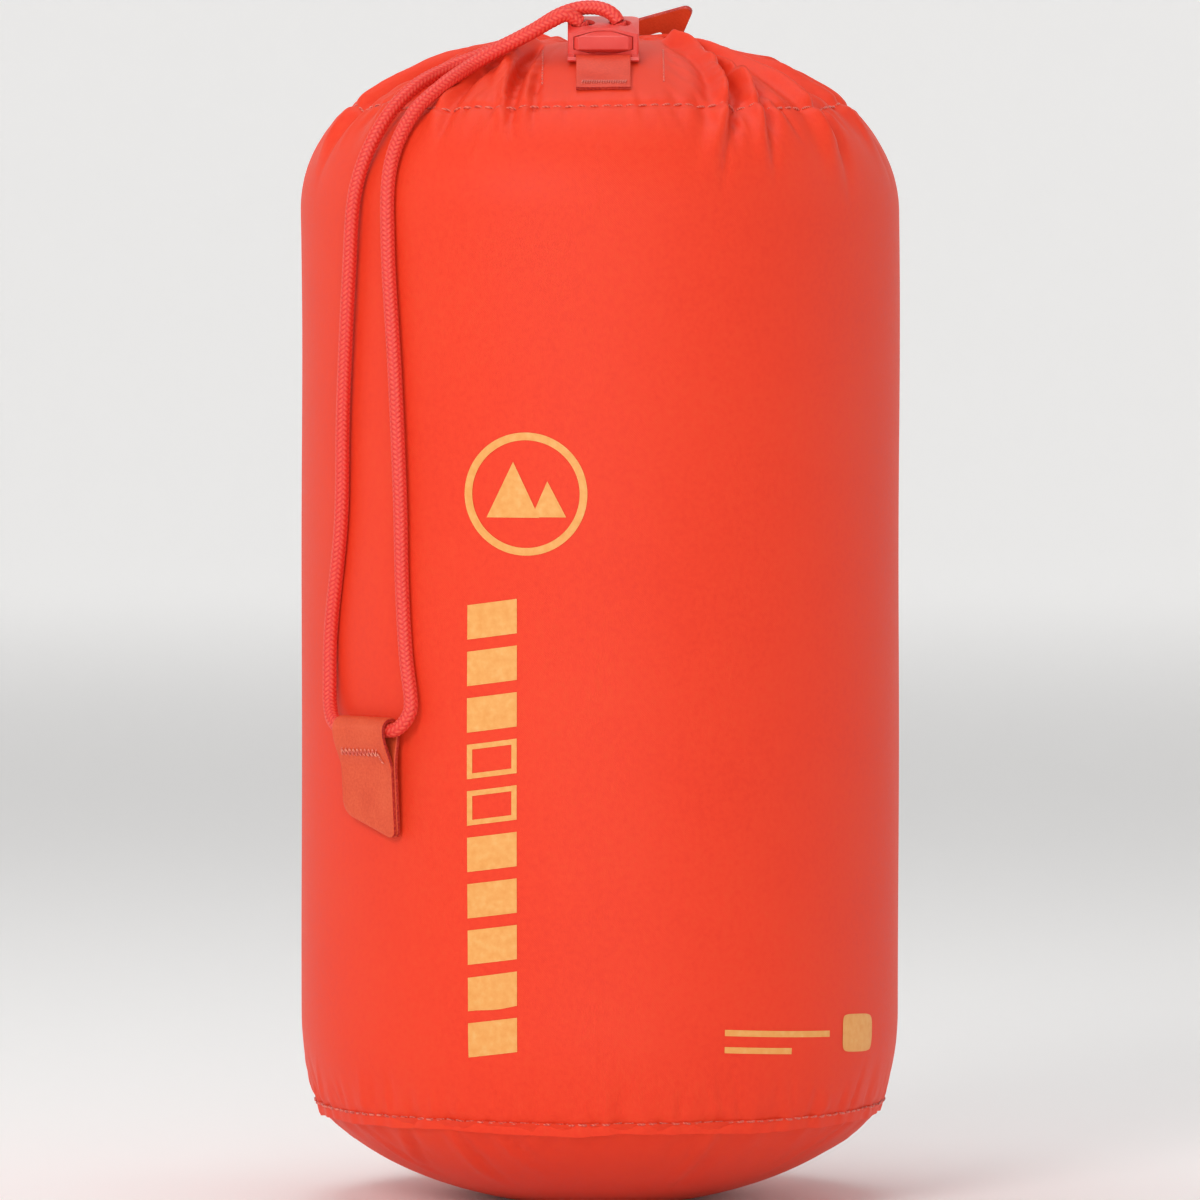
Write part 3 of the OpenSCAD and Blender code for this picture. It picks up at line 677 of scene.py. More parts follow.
def fold_heights():
    """How far the cloth stands out from the plain skin, in metres, for each row and column."""
    r = skin_line[:, :1] / MM
    z = skin_line[:, 1:]
    s = from_hem[:, None]
    a = angles[None, :]
    h = 0 * s * a
    for fold in FOLDS:
        height, width, t, d = fold_place(fold, r, s, a)
        valleys = 0.75 * bell(d - 1.5 * width, 0.7 * width) + 0.3 * bell(d + 1.6 * width, width)
        fade = smoothstep(t, -0.02, 0.5) * (1 - smoothstep(t, 1.0, 1.35))
        h += height * (bell(d, width) - valleys) * fade
    # small gathers: more and tighter towards the mouth
    rise = smoothstep(s, -14, 14)
    for count, strength, twist in ((23, 0.30, 0.012), (37, 0.24, -0.009), (58, 0.10, 0.005)):
        phase = 2.4 * np.sin(3 * a + 0.3 * count) + twist * count * s
        wave = np.abs(np.sin(0.5 * (count * a + phase)))
        h += strength * (1 - 2 * wave) * rise * (0.7 + 0.5 * np.sin(2 * a + count))
    neck = smoothstep(s, 33, 43)
    h += 0.55 * neck * (1 - 2 * np.abs(np.sin(13 * a + 0.8 * np.sin(3 * a)))) * (1 - smoothstep(s, 52, 56))
    # the stitched facing keeps the front of the hem flat
    h *= 1 - 0.93 * held_share(r, s, a)
    # the hem's stitches pull the two layers together, and the cloth puckers along them
    pucker = 0.16 * np.sin(96 * a + 2 * np.sin(11 * a)) + 0.12 * np.sin(61 * a)
    line = s - hem_wander(a)
    h = h * (1 - 0.4 * bell(line, 1.6)) - 0.5 * bell(line, 0.9) + pucker * bell(line, 4.5)
    # puckers along the base seam
    low = (z - SEAM_Z) / MM
    small = np.sin(47 * a + 1.7 * np.sin(5 * a)) * (0.6 + 0.4 * np.sin(9 * a + 1)) + 0.5 * np.sin(83 * a)
    h += 0.22 * small * bell(low, 5.5) - 0.2 * bell(low, 1.0) + 0.1 * bell(low + 1.8, 1.0)
    deeper = np.maximum(0, np.sin(14 * a + 2.2 * np.sin(4 * a))) ** 6
    h -= 0.5 * deeper * bell(low - 4, 5.5)
    # the side seam at the back: one layer laps over the other
    lap = wrap(a - math.pi) * r
    h += 0.35 * (smoothstep(lap, -2.6, -2.0) - smoothstep(lap, 3.5, 16)) * (s < 30)
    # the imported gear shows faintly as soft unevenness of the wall
    h += 0.25 * np.sin(3 * a + 0.02 * s) * np.sin(0.045 * s + 1) + 0.12 * np.sin(7 * a + 0.05 * s)
    h -= calm_share(r, z, a) * (h + 0.25)
    return h * MM


def crease_heights(r, s, z, a):
    """Sharp creases in the folds' valleys and short wrinkles along the seams, on the finer grid."""
    h = 0 * a * s
    for fold in FOLDS:
        height, width, t, d = fold_place(fold, r, s, a)
        fade = smoothstep(t, -0.1, 0.3) * (1 - smoothstep(t, 1.0, 1.3))
        h -= 0.38 * height * np.exp(-np.abs(d - 1.35 * width) / (0.34 * width)) * fade
    open_front = 1 - 0.75 * bell(wrap(a) * r - 2, 16)
    h += wrinkles(wrinkle_list(64, 3, (7, 19), (0.25, 0.6)), a, r, -s) * open_front
    h += wrinkles(wrinkle_list(58, 5, (6, 16), (0.2, 0.5)), a, r, s)
    low = (z - SEAM_Z) / MM
    h += wrinkles(wrinkle_list(72, 8, (5, 15), (0.2, 0.55)), a, r, low) * smoothstep(low, 0, 2)
    return h * (1 - held_share(r, s, a)) * (1 - calm_share(r, z, a)) * MM


def around(r, z, a=angles):
    """Rows of (radius, height) swept round the axis, with angle 0 at the front."""
    x = r * np.sin(a)
    return np.stack([x, -r * np.cos(a), z + 0 * x], axis=2)


def plain_cloth():
    h = fold_heights()
    t = unit(np.gradient(skin_line, axis=0))
    return around(skin_line[:, :1] + t[:, 1:] * h, skin_line[:, 1:] - t[:, :1] * h)


def grid_normals(p):
    along = np.gradient(p, axis=0)
    across = np.roll(p, -1, axis=1) - np.roll(p, 1, axis=1)
    return unit(np.cross(across, along))


GROWTH = 10  # the simulation runs at ten times the size, where its forces behave
SIM_FROM = -34  # millimetres from the hem
SIM_TO = 47
SIM_FRAMES = 22
MOST_MOVED = 3.2 * MM
FABRIC = {"quality": 6, "mass": 0.15, "tension_stiffness": 18, "compression_stiffness": 12,
          "shear_stiffness": 6, "bending_stiffness": 1.2, "air_damping": 2, "use_pressure": True,
          "uniform_pressure_force": 1.2}


def ungathered_radius(s):
    """Radius of the cloth before the cord gathers it, by distance from the hem."""
    return SACK_R - 0.60 * MM * np.maximum(0, s + 9)


def relaxed(p):
    """Lets the gathered cloth find its own folds between the pinned wall, facing and mouth."""
    rows = np.where((from_hem > SIM_FROM) & (from_hem < SIM_TO))[0]
    part = p[rows]
    s = from_hem[rows]
    wide = ungathered_radius(s)
    rise = np.concatenate([[0], np.sqrt(np.maximum(np.diff(s * MM) ** 2 - np.diff(wide) ** 2, 1e-9))])
    rest = around(wide[:, None], np.cumsum(rise)[:, None])
    faces = grid_faces(len(rows), COLUMNS, True)
    cloth = make_mesh("relaxing_cloth", part.reshape(-1, 3) * GROWTH, faces, None)
    cloth.shape_key_add(name="Basis")
    key = cloth.shape_key_add(name="rest")
    key.data.foreach_set("co", (rest.reshape(-1, 3) * GROWTH).ravel())
    held = held_share(skin_line[rows, :1] / MM, s[:, None], angles[None, :])
    ends = np.maximum(1 - smoothstep(s, SIM_FROM, SIM_FROM + 10), smoothstep(s, 38, 44))
    pins = np.maximum(np.maximum(ends, 0.75 * bell(s, 1.2))[:, None], held)
    group = cloth.vertex_groups.new(name="pins")
    for index, weight in enumerate(pins.ravel()):
        if weight > 0.01:
            group.add([index], float(weight), "REPLACE")
    solver = cloth.modifiers.new("cloth", "CLOTH")
    solver.point_cache.frame_end = SIM_FRAMES
    settings = solver.settings
    for name, value in FABRIC.items():
        setattr(settings, name, value)
    settings.vertex_group_mass = "pins"
    settings.rest_shape_key = key
    settings.effector_weights.gravity = 0
    solver.collision_settings.use_collision = False
    scene = bpy.context.scene
    for step in range(1, SIM_FRAMES + 1):
        scene.frame_set(step)
    shape = cloth.evaluated_get(bpy.context.evaluated_depsgraph_get())
    moved = np.empty(len(shape.data.vertices) * 3)
    shape.data.vertices.foreach_get("co", moved)
    scene.frame_set(1)
    bpy.data.objects.remove(cloth, do_unlink=True)
    change = moved.reshape(part.shape) / GROWTH - part
    size = np.linalg.norm(change, axis=2, keepdims=True)
    change *= np.minimum(1, MOST_MOVED / np.maximum(size, 1e-9))
    change *= 1 - held[:, :, None]
    p = p.copy()
    p[rows] = part + change
    return p


def refined(p):
    """The same surface with twice the rows and columns, on smooth curves through its points."""
    def between(a, b, c, d):
        return (9 * (b + c) - a - d) / 16

    wide = np.empty((len(p), 2 * p.shape[1], 3))
    wide[:, ::2] = p
    wide[:, 1::2] = between(np.roll(p, 1, 1), p, np.roll(p, -1, 1), np.roll(p, -2, 1))
    ends = np.concatenate([2 * wide[:1] - wide[1:2], wide, 2 * wide[-1:] - wide[-2:-1]])
    fine = np.empty((2 * len(p) - 1, wide.shape[1], 3))
    fine[::2] = wide
    fine[1::2] = between(ends[:-3], ends[1:-2], ends[2:-1], ends[3:])
    return fine


def halves(values):
    """A row of numbers with the middles between them."""
    values = np.asarray(values)
    return np.interp(np.arange(0, len(values) - 0.75, 0.5), np.arange(len(values)), values)


def push_clear(p, centres, gap, passes=8):
    """Presses the cloth in wherever it comes nearer than gap to a line of points."""
    tree = KDTree(len(centres))
    for i, c in enumerate(centres):
        tree.insert(c, i)
    tree.balance()
    near = [(i, j) for i, j in np.argwhere(p[:, :, 2] > 0.07) if tree.find(p[i, j])[2] < gap + 2 * MM]
    for _ in range(passes):
        n = grid_normals(p)
        for i, j in near:
            far = tree.find(p[i, j])[2]
            if far < gap:
                p[i, j] -= n[i, j] * (gap - far) * 0.8
    return p


class Cloth:
    """The finished cloth, so that stitches, prints and trim can be laid on it."""

    def __init__(self, points):
        self.p = points
        self.n = grid_normals(points)

    def at(self, row, angle, lift=0.0):
        """The place and the normal there; row is counted on the grid before it was refined."""
        columns = self.p.shape[1]
        i = min(max(2 * row, 0), len(self.p) - 1.001)
        j = (angle % (2 * math.pi)) / (2 * math.pi) * columns
        i0, j0 = int(i), int(j) % columns
        j1, u, v = (j0 + 1) % columns, i - i0, j - int(j)

        def blend(g):
            lower = (1 - v) * g[i0, j0] + v * g[i0, j1]
            upper = (1 - v) * g[i0 + 1, j0] + v * g[i0 + 1, j1]
            return (1 - u) * lower + u * upper

        normal = unit(blend(self.n))
        return blend(self.p) + lift * normal, normal

    def on_top(self, x, y, lift=0.0):
        """The place and the normal at x, y on the crown."""
        return self.at(row_of_radius(math.hypot(x, y)), math.atan2(x, -y), lift)


def row_of_height(z):
    wall = skin_line[:, 1][:hem_row + 1]
    return float(np.interp(z, wall, np.arange(len(wall))))


def row_of_radius(r):
    crown = skin_line[hem_row:hem_row + 34, 0]
    return hem_row + float(np.interp(-r, -crown, np.arange(len(crown))))


def build_cloth(material, cord_path):
    """The gathered tube: folds, simulation, then creases on a finer grid and room for the cord."""
    p = plain_cloth()
    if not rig.quick():
        p = relaxed(p)
    p = refined(p)
    along, r, z = [halves(values)[:, None] for values in (skin_along, *skin_line.T)]
    a = full_turn(p.shape[1])[None, :]
    s = (along - skin_along[hem_row]) / MM
    p += grid_normals(p) * crease_heights(r / MM, s, z, a)[:, :, None]
    edge = 0.3 * np.sin(6 * a + 1.5 * np.sin(3 * a)) + 0.12 * np.sin(19 * a + np.sin(7 * a))
    p[:, :, 2] += MM * edge * bell((z - FOLD_Z) / MM, 2.2)
    p = push_clear(p, cord_path, CORD_D / 2 + 0.12 * MM)
    flat = np.stack([a * SACK_R + 0 * along, along + 0 * a], axis=2).reshape(-1, 2)
    faces = grid_faces(len(p), p.shape[1], True)
    return make_mesh("sack_tube", p.reshape(-1, 3), faces, material, uv=flat), Cloth(p)


# ------------ base and contents
BASE_TOP = 0.0212
BASE_HALF_W = 0.066
BASE_HALF_H = 0.0365
BASE_FLAT = 0.0017


def base_profile():
    """A half ellipse cut off flat where the base stands, from its top edge to the middle."""
    top, foot = [math.acos(1 - (z + BASE_FLAT) / BASE_HALF_H) for z in (BASE_TOP, 0.0)]
    line = []
    for a in np.linspace(top, foot, 34):
        line.append((BASE_HALF_W * math.sin(a), BASE_HALF_H * (1 - math.cos(a)) - BASE_FLAT))
    line += [(r, 0) for r in np.linspace(line[-1][0], 0.0006, 7)[1:]]
    return np.array(line)


def build_base(material):
    line = base_profile()
    r, z = line[:, :1], line[:, 1:]
    a = angles[None, :]
    depth = lengths_along(line)[:, None] / MM
    small = np.sin(31 * a + 1.9 * np.sin(4 * a)) + 0.7 * np.sin(53 * a + 2)
    h = 0.2 * small * bell(depth - 2.5, 6)
    h += wrinkles(wrinkle_list(60, 12, (5, 24), (0.15, 0.45)), a, r / MM, depth)
    creases = random.Random(4)
    for _ in range(17):
        centre, drift = creases.uniform(0, 2 * math.pi), creases.uniform(-0.035, 0.035)
        reach, deep = creases.uniform(9, 32), creases.uniform(0.3, 0.75)
        d = wrap(a - centre - drift * depth * 0.3) * r / MM
        fade = smoothstep(depth, 0.5, 4) * (1 - smoothstep(depth, 0.5 * reach, reach))
        h += deep * (bell(d, 1.5) - 0.7 * bell(d - 2.2, 1.4)) * fade
    h *= MM * smoothstep(z, 0.0004, 0.006)
    t = unit(np.gradient(line, axis=0))
    p = around(r - t[:, 1:] * h, np.maximum(z + t[:, :1] * h, 0))
    uv = p[:, :, :2].reshape(-1, 2)
    faces = grid_faces(len(line), COLUMNS, True, flip=True)
    faces.append(cap((len(line) - 1) * COLUMNS, COLUMNS, flip=True))
    return make_mesh("base_cloth", p.reshape(-1, 3), faces, material, uv=uv)


def build_contents(material):
    """Crumpled gear that fills the sack, a little inside its skin."""
    columns = 72
    line = []
    for a in np.linspace(0.02, 1.15, 12):
        line.append((0.0615 * math.sin(a), 0.0035 + 0.0335 * (1 - math.cos(a))))
    line += [(0.0605, z) for z in np.linspace(0.04, WALL_TOP, 34)]
    for a in np.linspace(0.1, HEM_ANGLE, 8):
        line.append((0.036 + 0.0245 * math.cos(a), WALL_TOP + 0.0245 * math.sin(a)))
    line += [(0.040, 0.2346), (0.028, 0.2378), (0.016, 0.2404), (0.009, 0.2416), (0.0008, 0.2418)]
    r, z = np.array(line)[:, :1], np.array(line)[:, 1:]
    a = full_turn(columns)[None, :]
    h = 0.5 * MM * (np.sin(5 * a + 90 * z) + np.sin(11 * a - 160 * z) * 0.7 + np.sin(3 * a + 310 * z) * 0.6)
    r = np.maximum(r + np.minimum(h, 0.8 * MM) * smoothstep(r, 0.002, 0.02), 0.0004)
    p = around(r, z, a)
    uv = np.stack([a * 0.06 + 0 * z, z + 0 * a], axis=2).reshape(-1, 2)
    return make_mesh("packed_gear", p.reshape(-1, 3), capped_tube(p), material, uv=uv)


# ------------ stitches
THREAD_R = 0.19 * MM
# A stitch from end to end: share of its length, share of the thread's thickness, height in millimetres.
HALF_STITCH = [(0, 0.45, -0.18), (0.1, 0.85, 0.02), (0.3, 1, 0.14), (0.5, 1, 0.18)]
STITCH = HALF_STITCH + [(1 - t, thick, lift) for t, thick, lift in HALF_STITCH[-2::-1]]


def stitches(name, seams, material, thread=THREAD_R, sides=7):
    """seams holds one (start, end, normal) for each stitch; its ends dip into the cloth."""
    points, faces = [], []
    for start, end, normal in seams:
        start, end, normal = np.array(start), np.array(end), unit(normal)
        along = unit(end - start)
        across = unit(np.cross(along, normal))
        up = np.cross(across, along)
        circle = np.outer(np.cos(full_turn(sides)), across) + np.outer(np.sin(full_turn(sides)), up)
        rings = [start + (end - start) * t + up * (lift * MM) + thread * thick * circle
                 for t, thick, lift in STITCH]
        faces += capped_tube(np.array(rings), len(points))
        points += [point for ring in rings for point in ring]
    return make_mesh(name, points, faces, material)


def row_of_stitches(place, count, fill=0.74, wander=0.0):
    """place(t) gives the point and the normal on the cloth; the stitches share the way from 0 to 1."""
    made = []
    for k in range(count):
        a, n = place((k + 0.5 - fill / 2) / count)
        b, _ = place((k + 0.5 + fill / 2) / count)
        sway = np.array([0, 0, draw.uniform(-wander, wander)])
        made.append((a + sway, b - sway, n))
    return made


def zigzag(sewn_point, places):
    """Joins the places, which sewn_point turns into points and normals, with one stitch after another."""
    made = [sewn_point(*place) for place in places]
    return [(a, b, n) for (a, n), (b, _) in zip(made[:-1], made[1:])]


def sew_body(cloth, thread):
    low, top = row_of_height(0.0262), hem_row + 18
    seam_row = row_of_height(SEAM_Z)

    def hem_place(t):
        a = 2 * math.pi * t
        return cloth.at(hem_row + float(hem_wander(a)) / 1.26, a)

    def base_place(t):
        return cloth.at(seam_row, 2 * math.pi * t, 0.12 * MM)

    def column(x):
        return lambda t: cloth.on_top(x, -(FACING_REACH[0] + (FACING_REACH[1] - FACING_REACH[0]) * t))

    def back(offset):
        return lambda t: cloth.at(low + (top - low) * t, math.pi + offset / SACK_R)

    hem = row_of_stitches(hem_place, 132, 0.78, 0.2 * MM)
    base = row_of_stitches(base_place, 156, 0.76, 0.15 * MM)
    front = row_of_stitches(column(FACING[0]), 13, 0.6) + row_of_stitches(column(FACING[1]), 13, 0.6)
    side = row_of_stitches(back(-1.2 * MM), 96) + row_of_stitches(back(1.2 * MM), 96)
    for name, node, sewn, thick in (("hem_thread", "hem_stitches", hem, 0.22 * MM),
                                    ("base_seam_thread", "base_seam_stitches", base, 0.22 * MM),
                                    ("facing_thread", "facing_stitches", front, 0.2 * MM),
                                    ("side_seam_thread", "side_seam_stitches", side, THREAD_R)):
        settle(stitches(name, sewn, thread, thick), "sack", "thread", node)


# ------------ flat strips and plates
def edge_distance(grid):
    """How far each point of a grid is from the nearest of its four edges."""
    along = np.zeros(grid.shape[:2])
    along[1:] = np.cumsum(np.linalg.norm(np.diff(grid, axis=0), axis=2), axis=0)
    across = np.zeros(grid.shape[:2])
    across[:, 1:] = np.cumsum(np.linalg.norm(np.diff(grid, axis=1), axis=2), axis=1)
    return np.minimum(np.minimum(along, along[-1] - along), np.minimum(across, across[:, -1:] - across))


def slab(name, grid, thickness, face_material, edge_material, rounding=0.3 * MM):
    """A strip with soft edges, of even thickness on both sides of a grid of points."""
    rows, columns = grid.shape[:2]
    n = unit(np.cross(np.gradient(grid, axis=1), np.gradient(grid, axis=0)))
    near = np.clip(edge_distance(grid) / rounding, 0, 1)
    half = (thickness / 2 * (0.66 + 0.34 * np.sqrt(1 - (1 - near) ** 2)))[:, :, None]
    top, low = grid + n * half, grid - n * half
    loop = [(0, j) for j in range(columns)] + [(i, columns - 1) for i in range(1, rows)]
    loop += [(rows - 1, j) for j in range(columns - 2, -1, -1)] + [(i, 0) for i in range(rows - 2, 0, -1)]
    size = rows * columns
    points = list(top.reshape(-1, 3)) + list(low.reshape(-1, 3))
    faces = grid_faces(rows, columns, False) + grid_faces(rows, columns, False, size, flip=True)
    middle = grid.reshape(-1, 3).mean(axis=0)
    for share in (1.0, 0.45, -0.45, -1.0):
        bulge = (0.04 if abs(share) < 1 else 0) * thickness
        for i, j in loop:
            outward = unit(grid[i, j] - middle)
            points.append(grid[i, j] + n[i, j] * half[i, j] * share + outward * bulge)
    first_rim_face = len(faces)
    faces += grid_faces(4, len(loop), True, 2 * size)
    u, v = np.meshgrid(np.arange(columns) * 0.4 * MM, np.arange(rows) * 0.4 * MM)
    flat = np.stack([u, v], axis=2).reshape(-1, 2)
    uv = np.vstack([flat, flat, np.zeros((4 * len(loop), 2))])
    thing = make_mesh(name, points, faces, face_material, uv=uv)
    thing.data.materials.append(edge_material)
    for face in thing.data.polygons[first_rim_face:]:
        face.material_index = 1
    fix_normals(thing)
    return thing


def fix_normals(thing):
    work = bmesh.new()
    work.from_mesh(thing.data)
    bmesh.ops.recalc_face_normals(work, faces=work.faces)
    work.to_mesh(thing.data)
    work.free()


def spaced_columns(width, inner=14):
    """Places across a strip, closer at its two edges."""
    near = [0, 0.08, 0.2, 0.4]
    half = width / MM / 2
    middle = list(np.linspace(-half + 0.8, half - 0.8, inner))
    return np.array([-half + x for x in near] + middle + [half - x for x in near[::-1]]) * MM


# ------------ cord lock
LOCK_PLACE = np.array([0.0007, -0.0294, 0.24454])
LOCK_TILT = math.radians(16)
BAIL = (0, -0.0070, 0.00055)  # in the lock's own frame


def moulded(node, name, body, material, slot, bevel, keep_angle=32):
    """A copy of a CAD piece with its hard edges rounded, in its own material."""
    mesh = frame["nodes"][node].data.copy()
    mesh.name = name
    mesh.materials.clear()
    work = bmesh.new()
    work.from_mesh(mesh)
    bmesh.ops.remove_doubles(work, verts=work.verts, dist=0.002 * MM)
    bmesh.ops.dissolve_limit(work, angle_limit=math.radians(1.5), verts=work.verts, edges=work.edges)
    work.to_mesh(mesh)
    work.free()
    thing = add_object(name, mesh, material)
    mesh.set_sharp_from_angle(angle=math.radians(keep_angle))
    rounded = thing.modifiers.new("rounded", "BEVEL")
    rounded.width = bevel
    rounded.segments = 3
    rounded.limit_method = "ANGLE"
    rounded.angle_limit = math.radians(keep_angle)
    rounded.use_clamp_overlap = True
    even = thing.modifiers.new("even", "WEIGHTED_NORMAL")
    even.keep_sharp = False
    return settle(thing, body, slot, node)


def on_crown(r, out):
    """(distance from the axis, height) on the plain crown, or out from it."""
    c = (r - CROWN_C[0]) / CROWN_R
    return CROWN_C + (CROWN_R + out) * np.array([c, math.sqrt(1 - c * c)])


def lock_point(x, y, z):
    c, s = math.cos(LOCK_TILT), math.sin(LOCK_TILT)
    return LOCK_PLACE + np.array([x, c * y - s * z, s * y + c * z])


STRAP_W = 0.0114
STRAP_T = 0.38 * MM
STRAP_END_R = 0.0487


def strap_side_view():
    """Points of the strap's middle line, from its end on the crown round the lock's bail and back."""
    bail = lock_point(*BAIL)
    centre = np.array([-bail[1], bail[2]])
    out = unit(centre - CROWN_C)
    down = np.array([out[1], -out[0]])
    lift = np.linalg.norm(centre - CROWN_C) - CROWN_R
    turn_r = 0.72 * MM
    under = lift - turn_r
    line = [on_crown(r, under) for r in (STRAP_END_R, 0.0455, 0.0425, 0.0395)]
    for a in np.radians(np.linspace(-90, -270, 9)):
        line.append(centre + turn_r * (math.cos(a) * down + math.sin(a) * out))
    for r, share in ((0.0379, 0.9), (0.0397, 0.6), (0.0420, 0.2), (0.0445, 0.02), (STRAP_END_R, 0)):
        line.append(on_crown(r, under + 0.4 * MM + share * (2 * turn_r - 0.4 * MM)))
    return [(0, -q, z) for q, z in line]


def build_strap(tape, core, thread):
    path, _ = smooth_path(strap_side_view(), 0.45 * MM)
    across = spaced_columns(STRAP_W)
    grid = np.zeros((len(path), len(across), 3))
    for j, x in enumerate(across):
        wave = 0.05 * MM * np.sin(path[:, 1] * 900 + x * 500)
        grid[:, j] = path + np.stack([0 * wave + LOCK_PLACE[0] + x, 0 * wave, wave], axis=1)
    strap = slab("anchor_strap", grid, STRAP_T, tape, core)
    settle(strap, "sack", "trim_tape", "lock_strap")

    sewn = []
    for k, x in enumerate(np.arange(-4.5, 4.51, 0.5)):
        ends = []
        for r, shift in ((0.0476, 0.0), (0.0461, 0.28)):
            q, z = on_crown(r, 0.98 * MM)
            ends.append((LOCK_PLACE[0] + (x + shift) * MM, -q, z))
        sewn.append((ends[k % 2], ends[1 - k % 2], (0, -0.42, 0.9)))
    settle(stitches("anchor_strap_bartack", sewn, thread, 0.15 * MM), "sack", "thread", "lock_strap_bartack")


def build_buttonholes(cloth, thread):
    """The cord's two ways out of the hem are oversewn all round."""
    sewn = []
    for side in (-1, 1):
        for a in full_turn(18):
            ends = []
            for r in (2.15 * MM, 2.75 * MM):
                x = LOCK_PLACE[0] + side * 3.75 * MM + r * math.cos(a)
                ends.append(cloth.on_top(x, LOCK_PLACE[1] + r * math.sin(a))[0])
            sewn.append((*ends, (0, -0.27, 0.96)))
    settle(stitches("buttonhole_thread", sewn, thread, 0.14 * MM), "sack", "thread", "cord_exit_stitching")


def build_facing(cloth, material):
    """The strip that backs the front of the hem, under the outer cloth."""
    grid = np.zeros((14, 18, 3))
    for i, y in enumerate(np.linspace(-0.0225, -0.0445, 14)):
        for j, x in enumerate(np.linspace(FACING[0] - MM, FACING[1] + MM, 18)):
            grid[i, j], _ = cloth.on_top(x, y, -0.55 * MM)
    facing = slab("hem_facing", grid, 0.3 * MM, material, material)
    settle(facing, "sack", "sack_cloth", "front_facing")


# ------------ end tab on the cord
END_TAB_ANGLE = math.radians(47)
END_TAB_Z = 0.1027
END_TAB_W = 0.0156
END_TAB_T = 1.0 * MM
END_TAB_AXIS_R = SACK_R + 3.05 * MM
# In the tab's own millimetres: how far below the cord its two corners are, where its layers start to lean
# and where they meet, and the radius of the fold over the cord.
DROP_LEFT = 17.7
DROP_RIGHT = 23.0
LEAF_JOIN = 3.4
LEAF_CLOSED = 8.5
FOLD_R = 2.25


def tab_point(x, out, z):
    """From the tab's own frame, in millimetres with x to the right seen from outside, to the sack's."""
    c, s = math.cos(END_TAB_ANGLE), math.sin(END_TAB_ANGLE)
    outward = np.array([-s, -c, 0])
    right = np.array([c, -s, 0])
    base = outward * END_TAB_AXIS_R + np.array([0, 0, END_TAB_Z])
    return base + (right * x + outward * out + np.array([0, 0, z])) * MM


def leaf_out(drop, side):
    """How far a layer stands out: spread by the cord at the fold, closed against its twin below."""
    closed = -0.65 - 0.06 * max(drop - LEAF_JOIN, 0) + side * 0.53
    spread = 1 - float(smoothstep(drop, 0.2, LEAF_CLOSED))
    return closed + (side * FOLD_R * 0.98 - closed) * spread


def tab_drop(x):
    """How far the leaf hangs below the hinge line: slanted, with round corners."""
    half = END_TAB_W / MM / 2
    drop = DROP_LEFT + (DROP_RIGHT - DROP_LEFT) * (x + half) / (2 * half)
    for edge, radius in ((x + half, 2.4), (half - x, 2.0)):
        if edge < radius:
            drop -= radius - math.sqrt(radius**2 - (radius - edge) ** 2)
    return drop


def build_end_tab(tape, core, tack):
    """The tape up its outer layer, over the cord and down its inner layer, and the sewing across it."""
    columns = spaced_columns(END_TAB_W, 16) / MM
    outward = tab_point(0, 1, 0) - tab_point(0, 0, 0)

    def leaf(x, t, side):
        drop = tab_drop(x) * (1 - t) + 0.7 * t
        return tab_point(x, leaf_out(drop, side), -drop)

    def sewn_point(x, drop):
        return tab_point(x, leaf_out(drop, 1) + END_TAB_T / 2 / MM + 0.16, -drop), outward

    up = np.linspace(0, 1, 22)
    grid = [[leaf(x, t, 1) for x in columns] for t in up]
    for a in np.radians(np.linspace(-12, 192, 17)):
        grid.append([tab_point(x, FOLD_R * math.cos(a), FOLD_R * math.sin(a)) for x in columns])
    grid += [[leaf(x, t, -1) for x in columns] for t in up[::-1]]
    tab = slab("cord_end_tab", np.array(grid), END_TAB_T, tape, core, 0.35 * MM)
    turns = [(-6.2 + 0.6 * k, 3.9 if k % 2 else 5.6) for k in range(20)]
    tail = [(5.4, 4.6), (5.5, 5.4), (5.8, 6.3), (6.3, 6.9)]
    sewn = zigzag(sewn_point, turns) + zigzag(sewn_point, tail)
    bartack = stitches("cord_end_tab_bartack", sewn, tack, 0.16 * MM)
    settle(tab, "end_tab", "trim_tape", "end_tab")
    settle(bartack, "end_tab", "thread", "end_tab_bartack")
    return tab, bartack


# ------------ pull tab
PULL_ANGLE = math.radians(19)


def pull_point(x, y):
    """From the pull tab's root frame, in millimetres, to the sack's, seen from above."""
    c, s = math.cos(PULL_ANGLE), math.sin(PULL_ANGLE)
    return np.array([c * x + s * y, -s * x + c * y]) * MM


def build_pull_tab(cloth, tape, core, thread):
    """The tab itself, with its cut edges in the core's material, and its root sewn flat on the hem."""
    tab = moulded("pull_tab", "pull_loop_tab", "pull_tab", tape, "trim_tape", 0.16 * MM)
    tab.data.materials.append(core)
    flat = max(tab.data.polygons, key=lambda f: f.area).normal.copy()
    for face in tab.data.polygons:
        if abs(face.normal.dot(flat)) < 0.6:
            face.material_index = 1

    grid = np.zeros((12, 24, 3))
    for i, y in enumerate(np.linspace(27.0, 33.4, 12)):
        for j, x in enumerate(np.linspace(-7.8, 8.6, 24)):
            grid[i, j], _ = cloth.on_top(*pull_point(x, y), 0.5 * MM)
    base = slab("pull_loop_root", grid, 0.8 * MM, tape, core)
    settle(base, "sack", "trim_tape", "pull_tab_base")

    sewn = []
    for k, x in enumerate(np.arange(-6, 6.4, 0.5)):
        ends = []
        for y in (28.6, 30.2) if k % 2 else (30.2, 28.6):
            point, normal = cloth.on_top(*pull_point(x + 0.1 * (y - 28), y), 0.98 * MM)
            ends.append(point)
        sewn.append((*ends, normal))
    settle(stitches("pull_loop_bartack", sewn, thread, 0.15 * MM), "sack", "thread", "pull_tab_bartack")


